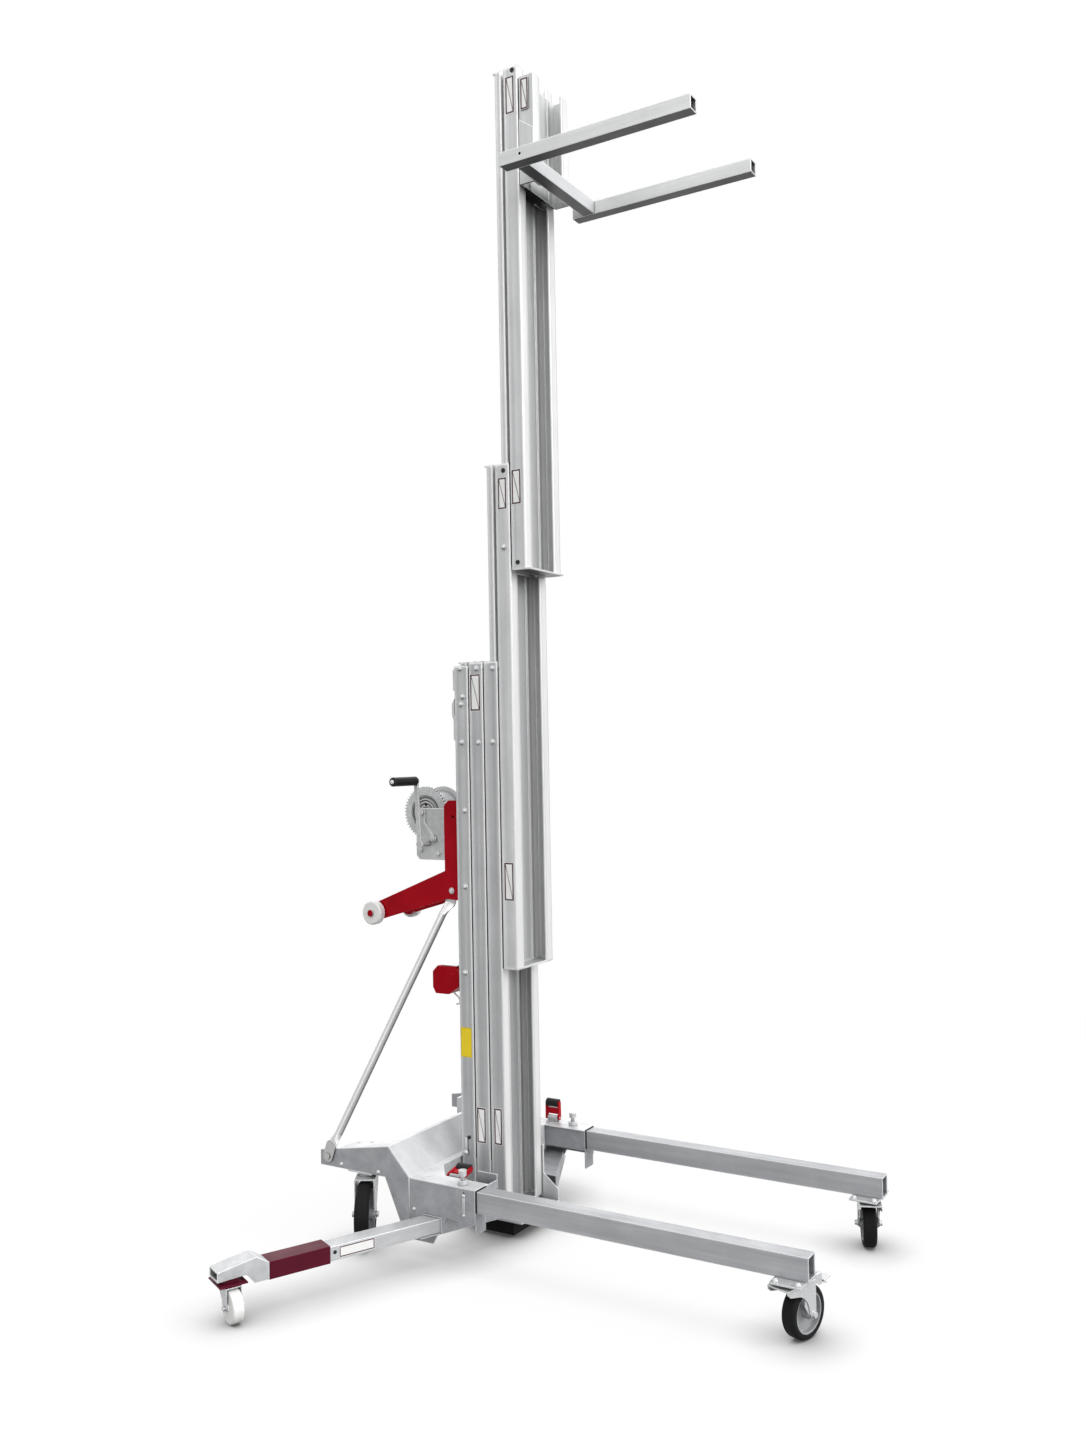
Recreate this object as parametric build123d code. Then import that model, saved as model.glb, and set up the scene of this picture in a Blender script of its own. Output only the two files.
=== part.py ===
from build123d import *
import os
from dataclasses import dataclass
from math import atan2, cos, pi, radians, sin, tan

# Duct lift: a five-section telescopic mast on a straddle base, raised by a hand winch.
# X runs forward along the forks, Y to the left and Z up from the floor, in millimetres.
# While it is built, X = 0 is the rear face of the fixed mast section and Y = 0 the centre plane.

# Clearances
running_fit = 0.05      # radial, a shaft in its hole
turning_gap = 0.3       # between flat faces that turn on each other
sliding_gap = 0.4       # between a mast flange and its guides
socket_gap = 0.5        # between a tube and the socket around it

# Mast sections: a lipped channel in front, a captured flange behind
mast_width = 230.0
strip_depth = 56.0
mast_wall = 5.0
web_thickness = 6.0
lip_thickness = 6.0
lip_reach = 41.0
rib_offset = 62.0
rib_width = 8.0
rib_height = 3.0
section_pitch = 61.5
neck_length = 18.0
flange_depth = 24.0
flange_side_gap = 6.0
flange_wall = 4.0
neck_wall = 5.0
neck_gap = 2.0
stop_plate = 6.0
cap_thickness = 5.0
cap_overhang = 8.0
guide_height = 80.0
guide_drop = 10.0
guide_reach = 32.0
hoist_hole_radius = 4.5      # through the top of the last section
hoist_hole_x = 35.0
hoist_hole_drop = 17.0

# Heights of the mast as it stands, half raised
mast_a_top = 1939.5
mast_b_top = 1948.5
mast_c_top = 1948.5
mast_d_length = 1716.0
mast_d_overlap = 1045.0     # length of section D still inside section C
mast_e_length = 1716.0
mast_e_overlap = 367.0
foot_stop_reach = 14.0

# Carriage and forks
carriage_length = 370.0
fork_drop = 369.0           # fork tops below the top of the last section
fork_tube = 45.0
fork_wall = 4.0
fork_span = 532.0
fork_length = 682.0
fork_heel = 44.0
fork_hole_x = 34.0          # from the crossbar's rear face
fork_hole_radius = 5.0
cheek_thickness = 4.0
cheek_height = 222.0
cheek_slope = 40.0

# Base: legs, sockets, tails and the folded deck
leg_span = 770.0
leg_width = 54.0
leg_height = 67.0
leg_wall = 4.0
leg_front = 1327.0
leg_rear = 0.0
plate = 5.0
deck_top = 252.5
deck_sheet = 4.0
deck_rear = -21.0
socket_front = 238.0
socket_bottom = 147.5
tab_height = 37.0
saddle_drop = 91.0
saddle_front = 125.0
saddle_front_low = 72.0
saddle_rear_low = -8.0
socket_slot_x = 195.0
socket_slot_length = 55.0
socket_slot_width = 8.0
ridge_x = -106.0
ridge_z = 341.5
tail_rear = -397.0
tail_rear_z = 290.5
tail_sheet_rear = -318.0
tail_bottom = 240.5
tail_width = 82.5
tail_knee = -120.0
tail_tip_rear = -58.0
tail_tip_bottom = 103.5
web_rear = -127.0
web_inset = 97.0
web_shoulder = -200.0
strut_bolt_radius = 6.0

# Mast well: the pan and cheeks that hold the mast foot
well_bottom = 58.5
well_rear = -20.0
well_gap = 3.0
well_cheek_front = 185.0
well_toe_front = 244.0
well_toe_height = 45.0
well_toe_top = 150.5
foot_rear = 60.0
foot_front = 205.0
foot_width = 224.0
foot_height = 46.0

# Deck opening round the mast foot, leg-lock levers and lock screws
deck_opening_rear = 0.0
deck_opening_taper = 90.0
deck_skirt = 85.0           # wall folded down at the opening's rear
deck_opening_shoulder = 72.0
deck_opening_margin = 15.0  # from the opening's side to the leg's inner face
lock_box_rear = 160.0
lock_box_reach = 74.0       # from the leg's inner face to the box's inner face
lock_box_wall = 4.0
lock_box_rise = 14.0
lock_shelf_drop = 26.0
lock_shelf_rear = 73.0
lever_right_x = 92.0
lever_right_inset = 43.0    # pivot, in from the leg's inner face
lever_right_rise = -8.0     # pivot height above the deck
lever_right_lean = 77.0     # degrees, inward from upright
lever_left_x = 78.0
lever_left_inset = 13.0     # pivot, in from the leg's outer face
lever_left_rise = 14.0
lever_left_lean = 0.0
lever_length = 54.0
lever_arm_width = 16.0
lever_eye_radius = 9.0
lever_arm_thickness = 5.0
lever_arm_offset = 24.0
lever_brace_start = 14.0
lever_brace_length = 22.0
lever_brace_thickness = 10.0
lever_pin_radius = 4.0
lever_lug_width = 38.0
lever_lug_length = 16.0
lever_grip_radius = 15.0
lock_x = 170.0
lock_shank_radius = 6.0
lock_flange_radius = 16.0
lock_flange_height = 14.0
lock_neck_radius = 7.0
lock_neck_height = 14.0
lock_head_radius = 13.0
lock_head_height = 18.0

# Side stay from the mast bracket to the right tail
strut_radius = 13.5
strut_top_x = -36.0
strut_top_z = 1158.5
strut_foot_x = -361.0
strut_foot_z = 274.5
strut_tab = 6.0
strut_tab_width = 40.0
strut_head_tab = 46.0
strut_foot_tab = 38.0
strut_flattening = 44.0
strut_bolt_head = 5.0
strut_bolt_head_radius = 10.0

# Red mast bracket with the loading rollers
bracket_outer = 95.0
bracket_plate = 5.0
bracket_rear = -68.0
bracket_top = 1472.5
bracket_low = 1124.5
bracket_corner = 19.0
bracket_arm_top = 1225.5
bracket_arm_end_top = (-366.0, 1105.5)
bracket_arm_end_low = (-343.0, 1044.5)
bracket_arm_heel = (-60.0, 1127.5)
bracket_end_radius = 31.0
bracket_window_radius = 6.0
bracket_window = (-31.0, 1414.5)
bracket_cross_low = 1268.5
bracket_cross_top = 1433.5
bracket_cross_wall = 6.0
bracket_cross_inset = 4.0
roller_x = -374.0
roller_z = 1066.5
roller_radius = 43.0
roller_width = 30.0
roller_gap = 3.0
roller_edge = 5.0
roller_axle_radius = 8.0
roller_cap_radius = 13.0
roller_cap_width = 5.0

# Winch: drum gear, pinion, frame and crank
gear_module = 3.75
drum_teeth = 48
pinion_teeth = 12
addendum = 0.8
dedendum = 1.05
tooth_tip_share = 0.13
tooth_root_share = 0.33
gear_width = 8.0
pinion_width = 12.0
mesh_lean = 13.8        # degrees from straight down, drum axis to pinion axis
drum_x = -174.0
drum_z = 1428.0
drum_near = -60.0
drum_barrel_width = 102.0
drum_barrel_radius = 70.0
drum_flange_radius = 90.0
drum_flange = 4.0
drum_dish_radius = 62.0
drum_dish_depth = 3.0
drum_wall = 6.0
drum_hub_radius = 18.0
drum_ring_radii = (56.0, 47.0, 38.0)
drum_ring_width = 3.0
drum_hole_circle = 26.5
drum_hole_radius = 5.5
drum_holes = 4
drum_shaft_radius = 10.0
winch_half_width = 78.0
winch_plate = 4.0
winch_back = 5.0
winch_rear = -202.0
winch_drop = 167.0          # the frame's foot below the drum's axle
winch_rise = 16.0
winch_corner = 14.0
pawl_eye_radius = 14.0
pawl_bends = ((8.0, -38.5, 5.0), (48.0, -92.5, 8.0))     # x and z from the drum's axle, and half width
pawl_thickness = 4.0
crank_shaft_radius = 8.0
crank_plane = -130.0
crank_arm = 6.0
crank_length = 224.0
crank_lean = 3.0        # degrees, rearward from straight up
crank_hub_radius = 14.0
crank_eye_radius = 12.0
crank_arm_radius = 8.5
grip_radius = 16.0
grip_length = 132.0
grip_pin_radius = 6.0
grip_cap_radius = 7.5
grip_cap = 3.0

# Strap reel housing and grab handles on the fixed section
reel_stand_off = 12.0
reel_depth = 112.0
reel_low = 796.0
reel_height = 97.0
reel_width = 90.0
reel_near = -100.0
reel_corner = 21.0
reel_heel = 12.0
reel_toe_run = 46.0
reel_toe_rise = 30.0
reel_bracket = 5.0
reel_bracket_height = 44.0
handle_offset = 84.0
handle_plate = 6.0
handle_low = 1682.5
handle_high = 1836.5
handle_depth = 30.0
handle_stem = 24.0
handle_bulge = 14.0         # height over which the stem swells to the slot
handle_taper = 28.0
handle_slot_low = 1768.5
handle_slot_high = 1824.5
handle_slot_width = 13.0
handle_slot_inset = 8.0
handle_block_low = 1856.5
handle_block_high = 1930.5
handle_block_depth = 24.0


@dataclass
class CasterSize:
    """Sizes of one swivel caster; mount_z is the height of its top plate's underside."""
    mount_z: float
    wheel_radius: float
    wheel_width: float
    rim_radius: float
    trail: float
    race_radius: float
    race_height: float
    plate_length: float
    plate_width: float
    plate_thickness: float
    crown: float = 4.0
    leg: float = 4.0
    side_gap: float = 4.0
    boss_radius: float = 12.0
    axle_radius: float = 5.0
    axle_cap: float = 8.0
    hub_radius: float = 14.0
    rim_wall: float = 5.0
    disc: float = 8.0
    tread_round: float = 9.0
    ring_inset: float = 2.0
    kingpin_radius: float = 6.0
    kingpin_head: float = 3.0
    waist: float = 0.0


front_caster_x = 1274.0
leg_bottom = deck_top - deck_sheet - socket_gap - leg_height
front_plate = 5.0
front_caster = CasterSize(
    mount_z=leg_bottom - front_plate,
    wheel_radius=75.0,
    wheel_width=44.0,
    rim_radius=58.0,
    trail=40.0,
    race_radius=30.0,
    race_height=8.0,
    plate_length=90.0,
    plate_width=140.0,
    plate_thickness=front_plate,
    side_gap=6.0,
    boss_radius=14.0,
    axle_cap=12.0,
    hub_radius=17.0,
    tread_round=10.0,
    waist=9.0,
)
front_right_heading = 73.0
front_left_heading = 112.0

rear_caster_x = -228.0
rear_plate = 5.0
rear_caster = CasterSize(
    mount_z=tail_bottom - rear_plate,
    wheel_radius=106.0,
    wheel_width=48.0,
    rim_radius=82.0,
    trail=52.0,
    race_radius=32.0,
    race_height=12.0,
    plate_length=100.0,
    plate_width=tail_width,
    plate_thickness=rear_plate,
    side_gap=6.0,
    boss_radius=15.0,
    axle_radius=6.0,
    axle_cap=10.0,
    hub_radius=20.0,
    rim_wall=7.0,
    tread_round=14.0,
)
rear_right_heading = -60.0
rear_left_heading = -60.0

# Brake pedal on the front right caster
pedal_pivot = 96.0
pedal_pivot_z = 142.0
pedal_hub_radius = 7.0
pedal_pin_radius = 3.0
pedal_half_width = 15.5
pedal_ear = 4.0
pedal_ear_radius = 8.0
pedal_press_length = 42.0
pedal_press_width = 50.0
pedal_press_lean = -12.0
pedal_release_length = 36.0
pedal_release_width = 36.0
pedal_release_lean = 18.0
pedal_thickness = 4.0
pedal_slot = 14.0

# Outrigger: a tube drawn out of a slanted receiver under the right socket
outrigger_angle = 25.0      # degrees, rearward from straight out
outrigger_mouth_x = 54.0
outrigger_mouth_out = 38.5  # from the side plate's outer face to the receiver's mouth
arm_width = 60.0
arm_height = 44.0
arm_wall = 4.0
arm_inside = 110.0
arm_shown = 330.0
receiver_wall = 4.0
receiver_lip = 20.0
receiver_rim = 4.0          # beyond the side plate's outer face
sleeve_length = 195.0
sleeve_wall = 4.0
end_length = 157.0
end_peak = 38.0
end_peak_rise = 24.0
end_tip_drop = 19.0
end_tip_height = 29.0
end_heel = 45.0
end_notch = 69.0
end_notch_rise = 4.0
end_wall = 4.0
end_side_drop = 2.0
outrigger_plate = 4.0
outrigger_spacer = 10.0
outrigger_spacer_width = 46.0
outrigger_caster_inset = 44.0
outrigger_plate_length = 84.0
outrigger_plate_width = 100.0
outrigger_wheel_radius = 48.0
outrigger_wheel_width = 34.0
outrigger_heading = -23.6


def block(x0, x1, y0, y1, z0, z1):
    """A box between two corners."""
    centre = Pos((x0 + x1) / 2, (y0 + y1) / 2, (z0 + z1) / 2)
    return centre * Box(x1 - x0, y1 - y0, z1 - z0)


def rect(x0, x1, y0, y1):
    """A plan rectangle between two corners."""
    return Pos((x0 + x1) / 2, (y0 + y1) / 2) * Rectangle(x1 - x0, y1 - y0)


def pair(x0, x1, y0, y1):
    """A plan rectangle and its mirror image across the centre plane."""
    return rect(x0, x1, y0, y1) + rect(x0, x1, -y1, -y0)


def side_shape(points, y0, y1):
    """A plate cut to an outline in the X and Z directions."""
    outline = make_face(Polyline(*[(x, y0, z) for x, z in points], close=True))
    return extrude(outline, amount=y1 - y0, dir=(0, 1, 0))


def plan_shape(points, z0, z1):
    """A plate cut to an outline seen from above."""
    outline = make_face(Polyline(*[(x, y, z0) for x, y in points], close=True))
    return extrude(outline, amount=z1 - z0, dir=(0, 0, 1))


def rod_y(x, z, y0, y1, radius):
    """A round bar along Y."""
    return Pos(x, (y0 + y1) / 2, z) * Rot(90, 0, 0) * Cylinder(radius, y1 - y0)


def rod_x(y, z, x0, x1, radius):
    """A round bar along X."""
    return Pos((x0 + x1) / 2, y, z) * Rot(0, 90, 0) * Cylinder(radius, x1 - x0)


def rod_z(x, y, z0, z1, radius):
    """A round bar along Z."""
    return Pos(x, y, (z0 + z1) / 2) * Cylinder(radius, z1 - z0)


def side_hull(shapes, y0, y1):
    """A plate whose outline is stretched tight round flat shapes drawn in X and Z."""
    edges = [edge for shape in shapes for edge in shape.edges()]
    outline = Plane.XZ * make_hull(edges)
    return Pos(0, y0, 0) * extrude(outline, amount=y1 - y0, dir=(0, 1, 0))


def outer_circles(solid, radius):
    """The circular edges of a solid that have a given radius."""
    rounds = solid.edges().filter_by(GeomType.CIRCLE)
    return [edge for edge in rounds if abs(edge.radius - radius) < 1e-6]


def mirrored(solid):
    """The same piece on the other side of the centre plane."""
    return mirror(solid, about=Plane.XZ)


# Mast sections

mast_half = mast_width / 2
mouth_half = mast_half - lip_reach
flange_half = mast_half - mast_wall - flange_side_gap
neck_half = mouth_half - neck_gap
lip_rear = strip_depth - lip_thickness
flange_rear = -neck_length - flange_depth


def channel_profile():
    """The open front of a section: web, side walls, inturned lips and two web ribs."""
    profile = rect(0, web_thickness, -mast_half, mast_half)
    profile += pair(0, strip_depth, mast_half - mast_wall, mast_half)
    profile += pair(lip_rear, strip_depth, mouth_half, mast_half)
    rib_edge = rib_offset - rib_width / 2
    profile += pair(0, web_thickness + rib_height, rib_edge, rib_edge + rib_width)
    return profile


def flange_profile():
    """The hollow flange behind a section, carried on two neck walls."""
    profile = pair(-neck_length - flange_wall, 0, neck_half - neck_wall, neck_half)
    profile += pair(-neck_length - flange_wall, -neck_length, neck_half - neck_wall, flange_half)
    profile += pair(flange_rear, -neck_length, flange_half - flange_wall, flange_half)
    profile += rect(flange_rear, flange_rear + flange_wall, -flange_half, flange_half)
    return profile


def mast_section(index, bottom, top, stop_reach=0.0):
    """One section with its bottom stop plate; all but the first have a flange and a cap."""
    profile = channel_profile()
    if index > 0:
        profile += flange_profile()
    section = extrude(profile, amount=top - bottom)
    stop_inner = mast_half - mast_wall
    section += block(0, strip_depth + stop_reach, -stop_inner, stop_inner, 0, stop_plate)
    if index > 0:
        cap = rect(flange_rear - cap_overhang, -neck_length, -flange_half, flange_half)
        cap += rect(-neck_length, web_thickness, -neck_half, neck_half)
        section += Pos(0, 0, top - bottom) * extrude(cap, amount=cap_thickness)
    return Pos(index * section_pitch, 0, bottom) * section


def mast_guides(index, top):
    """The two U-shaped guides at the top of a section that hold the next flange."""
    guide_outer = mast_half - mast_wall
    flange_low = section_pitch + flange_rear
    flange_high = section_pitch - neck_length
    profile = pair(web_thickness, lip_rear, guide_outer - guide_reach, guide_outer)
    profile -= pair(flange_low - sliding_gap, flange_high + sliding_gap,
                    guide_outer - guide_reach, flange_half + sliding_gap)
    guides = extrude(profile, amount=guide_height)
    return Pos(index * section_pitch, 0, top - guide_drop - guide_height) * guides


mast_a_bottom = well_bottom + plate
mast_b_bottom = mast_a_bottom + stop_plate
mast_c_bottom = mast_b_bottom + stop_plate
mast_d_bottom = mast_c_top - mast_d_overlap
mast_d_top = mast_d_bottom + mast_d_length
mast_e_bottom = mast_d_top - mast_e_overlap
mast_e_top = mast_e_bottom + mast_e_length

mast_a = mast_section(0, mast_a_bottom, mast_a_top)
mast_b = mast_section(1, mast_b_bottom, mast_b_top)
mast_c = mast_section(2, mast_c_bottom, mast_c_top)
mast_d = mast_section(3, mast_d_bottom, mast_d_top)
mast_e = mast_section(4, mast_e_bottom, mast_e_top, foot_stop_reach)
guides_a = mast_guides(0, mast_a_top)
guides_b = mast_guides(1, mast_b_top)
guides_c = mast_guides(2, mast_c_top)
guides_d = mast_guides(3, mast_d_top)
guides_e = mast_guides(4, mast_e_top)
hoist_hole = rod_y(4 * section_pitch + hoist_hole_x, mast_e_top - hoist_hole_drop, -mast_half, mast_half,
                   hoist_hole_radius)
mast_e -= hoist_hole
guides_e -= hoist_hole

# Carriage, crossbar and forks

carriage_x = 5 * section_pitch
carriage_front = carriage_x + strip_depth
fork_top = mast_e_top - fork_drop
fork_bottom = fork_top - fork_tube
carriage = extrude(channel_profile() + flange_profile(), amount=carriage_length)
carriage = Pos(carriage_x, 0, fork_bottom) * carriage
cheek_outline = [
    (carriage_x, fork_bottom),
    (carriage_front, fork_bottom),
    (carriage_front, fork_bottom + cheek_height - cheek_slope),
    (carriage_x, fork_bottom + cheek_height),
]
cheek = side_shape(cheek_outline, mast_half, mast_half + cheek_thickness)
carriage += cheek + mirrored(cheek)

fork_outer = fork_span / 2
fork_inner = fork_outer - fork_tube
crossbar_front = carriage_front + fork_tube
crossbar = block(carriage_front, crossbar_front, -fork_inner, fork_inner, fork_bottom, fork_top)
crossbar -= block(carriage_front + fork_wall, crossbar_front - fork_wall, -fork_inner, fork_inner,
                  fork_bottom + fork_wall, fork_top - fork_wall)

fork_rear = carriage_front - fork_heel
fork_tip = fork_rear + fork_length
fork_left = block(fork_rear, fork_tip, fork_inner, fork_outer, fork_bottom, fork_top)
fork_left -= block(fork_rear, fork_tip, fork_inner + fork_wall, fork_outer - fork_wall,
                   fork_bottom + fork_wall, fork_top - fork_wall)
fork_left -= rod_y(carriage_front + fork_hole_x, fork_bottom + fork_tube / 2, fork_inner, fork_outer, fork_hole_radius)
fork_right = mirrored(fork_left)

# Legs, and the sockets and tails on each side

leg_outer = leg_span / 2
leg_inner = leg_outer - leg_width
leg_centre = leg_outer - leg_width / 2
leg_top = leg_bottom + leg_height
leg_left = block(leg_rear, leg_front, leg_inner, leg_outer, leg_bottom, leg_top)
leg_left -= block(leg_rear, leg_front, leg_inner + leg_wall, leg_outer - leg_wall,
                  leg_bottom + leg_wall, leg_top - leg_wall)
leg_right = mirrored(leg_left)

frame_inner = leg_outer + socket_gap
frame_outer = frame_inner + plate
socket_wall_outer = leg_inner - socket_gap
socket_wall_inner = socket_wall_outer - plate
tail_inner = frame_outer - tail_width
web_half = tail_inner - web_inset
deck_opening_half = leg_inner - deck_opening_margin
deck_opening_rear_half = deck_opening_half - deck_opening_taper
lock_box_inner = leg_inner - lock_box_reach
lever_right_y = lever_right_inset - leg_inner
lever_left_y = leg_outer - lever_left_inset
outrigger_mouth = (outrigger_mouth_x, -frame_outer - outrigger_mouth_out)
outrigger_line = Pos(outrigger_mouth[0], outrigger_mouth[1], 0) * Rot(0, 0, -90 - outrigger_angle)
arm_top = socket_bottom - receiver_wall - socket_gap
arm_bottom = arm_top - arm_height
arm_half = arm_width / 2
receiver_half = arm_half + socket_gap + receiver_wall
receiver_bottom = arm_bottom - socket_gap - receiver_wall
well_inner = mast_half + well_gap
well_outer = well_inner + plate
receiver_length = (-well_outer - outrigger_mouth[1]) / cos(radians(outrigger_angle))
receiver_skew = receiver_half * tan(radians(outrigger_angle))


def receiver_body():
    """The outside of the right receiver, as a solid bar on the outrigger's line that ends at the side plate."""
    bar = outrigger_line * block(-receiver_length - receiver_skew, receiver_lip, -receiver_half, receiver_half,
                                 receiver_bottom, socket_bottom)
    return bar & block(-receiver_length, 2 * receiver_length, -frame_outer - receiver_rim, 0,
                       receiver_bottom, socket_bottom)


def side_frame():
    """The left side plate, with the leg socket in front and the tail behind."""
    outline = [
        (tail_rear, tail_bottom),
        (tail_rear, tail_rear_z),
        (ridge_x, ridge_z),
        (deck_rear, deck_top),
        (socket_front, deck_top),
        (socket_front, socket_bottom),
        (deck_rear, socket_bottom),
        (deck_rear, tail_tip_bottom),
        (tail_tip_rear, tail_tip_bottom),
        (tail_knee, tail_bottom),
    ]
    frame = side_shape(outline, frame_inner, frame_outer)
    frame += block(deck_rear, socket_front, socket_wall_inner, frame_inner, leg_bottom - plate, leg_bottom)
    frame += block(deck_rear, socket_front, socket_wall_inner, socket_wall_outer,
                   leg_bottom - plate, deck_top - deck_sheet)
    frame += block(socket_front - plate, socket_front, leg_inner, frame_inner,
                   socket_bottom - tab_height, leg_bottom)
    saddle = [
        (deck_rear, socket_bottom),
        (saddle_front, socket_bottom),
        (saddle_front_low, socket_bottom - saddle_drop),
        (saddle_rear_low, socket_bottom - saddle_drop),
    ]
    frame += side_shape(saddle, frame_inner, frame_outer)
    frame -= mirrored(receiver_body())
    slot_middle = (leg_bottom + leg_top) / 2
    slot_half = socket_slot_length / 2 - socket_slot_width / 2
    slot_round = Circle(socket_slot_width / 2)
    slot_ends = [Pos(socket_slot_x, slot_middle + side * slot_half) * slot_round for side in (-1, 1)]
    frame -= side_hull(slot_ends, frame_inner, frame_outer)
    return frame


def lever_lug(x, y, base, pivot_z):
    """A lug with the cross pin on which a leg-lock lever turns."""
    lug = block(x - lever_lug_width / 2, x + lever_lug_width / 2, y - lever_lug_length / 2,
                y + lever_lug_length / 2, base, pivot_z)
    lug += rod_x(y, pivot_z, x - lever_lug_width / 2, x + lever_lug_width / 2, lever_lug_length / 2)
    pin_half = lever_arm_offset + lever_arm_thickness + turning_gap
    return lug + rod_x(y, pivot_z, x - pin_half, x + pin_half, lever_pin_radius)


lever_right_z = deck_top + lever_right_rise
lever_left_z = deck_top + lever_left_rise
shelf_top = deck_top - lock_shelf_drop
shelf_bottom = shelf_top - lock_box_wall
lock_box_top = deck_top + lock_box_rise

side_frame_left = side_frame()
side_frame_right = mirrored(side_frame_left)
side_frame_right += block(lock_shelf_rear, socket_front, -socket_wall_inner, -lock_box_inner,
                          shelf_bottom, shelf_top)
side_frame_right += block(lock_box_rear, socket_front, -lock_box_inner - lock_box_wall, -lock_box_inner,
                          shelf_bottom, lock_box_top)
side_frame_right += block(socket_front - lock_box_wall, socket_front, -socket_wall_inner, -lock_box_inner,
                          shelf_bottom, deck_top - deck_sheet)
side_frame_right += lever_lug(lever_right_x, lever_right_y, shelf_top, lever_right_z)
side_frame_right -= rod_y(strut_foot_x, strut_foot_z, -frame_outer, -frame_inner, strut_bolt_radius + running_fit)

# Folded deck: tail flanges, ridge, ramp and level deck, with its fittings

slope = (ridge_z - tail_rear_z) / (ridge_x - tail_rear)


def tail_height(x):
    """The height of the tail's sloping top at a place along it."""
    return tail_rear_z + slope * (x - tail_rear)


fold = [
    (tail_sheet_rear, tail_height(tail_sheet_rear)),
    (ridge_x, ridge_z),
    (deck_rear, deck_top),
    (socket_front, deck_top),
]
sheet_outline = fold + [(x, z - deck_sheet) for x, z in reversed(fold)]
deck = side_shape(sheet_outline, -frame_inner, frame_inner)
rear_cut = [
    (tail_rear, -tail_inner),
    (web_shoulder, -tail_inner),
    (web_rear, -web_half),
    (web_rear, web_half),
    (web_shoulder, tail_inner),
    (tail_rear, tail_inner),
]
deck -= plan_shape(rear_cut, tail_bottom, ridge_z + plate)
opening = [
    (deck_opening_rear, -deck_opening_rear_half),
    (deck_opening_shoulder, -deck_opening_half),
    (socket_front, -deck_opening_half),
    (socket_front, deck_opening_half),
    (deck_opening_shoulder, deck_opening_half),
    (deck_opening_rear, deck_opening_rear_half),
]
deck -= plan_shape(opening, deck_top - deck_sheet, deck_top)
skirt_turn = atan2(deck_opening_taper, deck_opening_shoulder - deck_opening_rear)
skirt_out = (-deck_sheet * sin(skirt_turn), deck_sheet * cos(skirt_turn))
skirt_low = deck_top - deck_sheet - deck_skirt
skirt = [
    (deck_opening_rear, well_outer),
    (deck_opening_rear, deck_opening_rear_half),
    (deck_opening_shoulder, deck_opening_half),
    (deck_opening_shoulder + skirt_out[0], deck_opening_half + skirt_out[1]),
    (deck_opening_rear - deck_sheet, deck_opening_rear_half + skirt_out[1]),
    (deck_opening_rear - deck_sheet, well_outer),
]
deck_wall = plan_shape(skirt, skirt_low, deck_top - deck_sheet)
deck += deck_wall
deck += mirrored(deck_wall)


def tail_wall():
    """The left tail's inner wall, under the sloping sheet."""
    front = web_shoulder
    rear = tail_sheet_rear
    outline = [
        (rear, tail_bottom),
        (rear, tail_height(rear) - deck_sheet),
        (front, tail_height(front) - deck_sheet),
        (front, tail_bottom),
    ]
    return side_shape(outline, tail_inner, tail_inner + plate)


deck += tail_wall()
deck += mirrored(tail_wall())
deck += lever_lug(lever_left_x, lever_left_y, deck_top, lever_left_z)
screw_bore = rod_z(lock_x, leg_centre, deck_top - deck_sheet, deck_top, lock_shank_radius + running_fit)
deck -= screw_bore
deck -= mirrored(screw_bore)

# Mast well under the deck

well_top = deck_top - deck_sheet
well_outline = [
    (well_rear, well_bottom),
    (well_toe_front, well_bottom),
    (well_toe_front, well_bottom + well_toe_height),
    (well_cheek_front, well_toe_top),
    (well_cheek_front, well_top),
    (well_rear, well_top),
]
well_cheek = side_shape(well_outline, well_inner, well_outer)
low_outline = well_outline[:4] + [(well_rear, well_toe_top)]
low_cheek = side_shape(low_outline, -well_outer, -well_inner)
mast_well = block(well_rear, well_toe_front, -well_inner, well_inner, well_bottom, well_bottom + plate)
mast_well += block(well_rear, well_rear + plate, -well_inner, well_inner, well_bottom, well_top)
mast_well += well_cheek
mast_well += low_cheek

foot_block = block(foot_rear, foot_front, -foot_width / 2, foot_width / 2, well_bottom - foot_height, well_bottom)

# Leg-lock levers and lock screws


def lever(x, y, z, lean):
    """A two-armed lever and its round grip, leaning inward by an angle from upright."""
    arm_outer = lever_arm_offset + lever_arm_thickness
    pivot = Circle(lever_eye_radius)
    tip = Pos(0, lever_length) * Circle(lever_arm_width / 2)
    outline = make_hull(pivot.edges() + tip.edges())
    arm = extrude(Plane.YZ * outline, amount=lever_arm_thickness)
    yoke = Pos(lever_arm_offset, 0, 0) * arm + Pos(-arm_outer, 0, 0) * arm
    brace_half = lever_brace_thickness / 2
    yoke += block(-lever_arm_offset, lever_arm_offset, -brace_half, brace_half,
                  lever_brace_start, lever_brace_start + lever_brace_length)
    yoke -= rod_x(0, 0, -arm_outer, arm_outer, lever_pin_radius + running_fit)
    grip = rod_x(0, lever_length, -lever_arm_offset, lever_arm_offset, lever_grip_radius)
    inward = lean if y > 0 else -lean
    place = Pos(x, y, z) * Rot(inward, 0, 0)
    return place * yoke, place * grip


lever_right, lever_grip_right = lever(lever_right_x, lever_right_y, lever_right_z, lever_right_lean)
lever_left, lever_grip_left = lever(lever_left_x, lever_left_y, lever_left_z, lever_left_lean)


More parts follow.
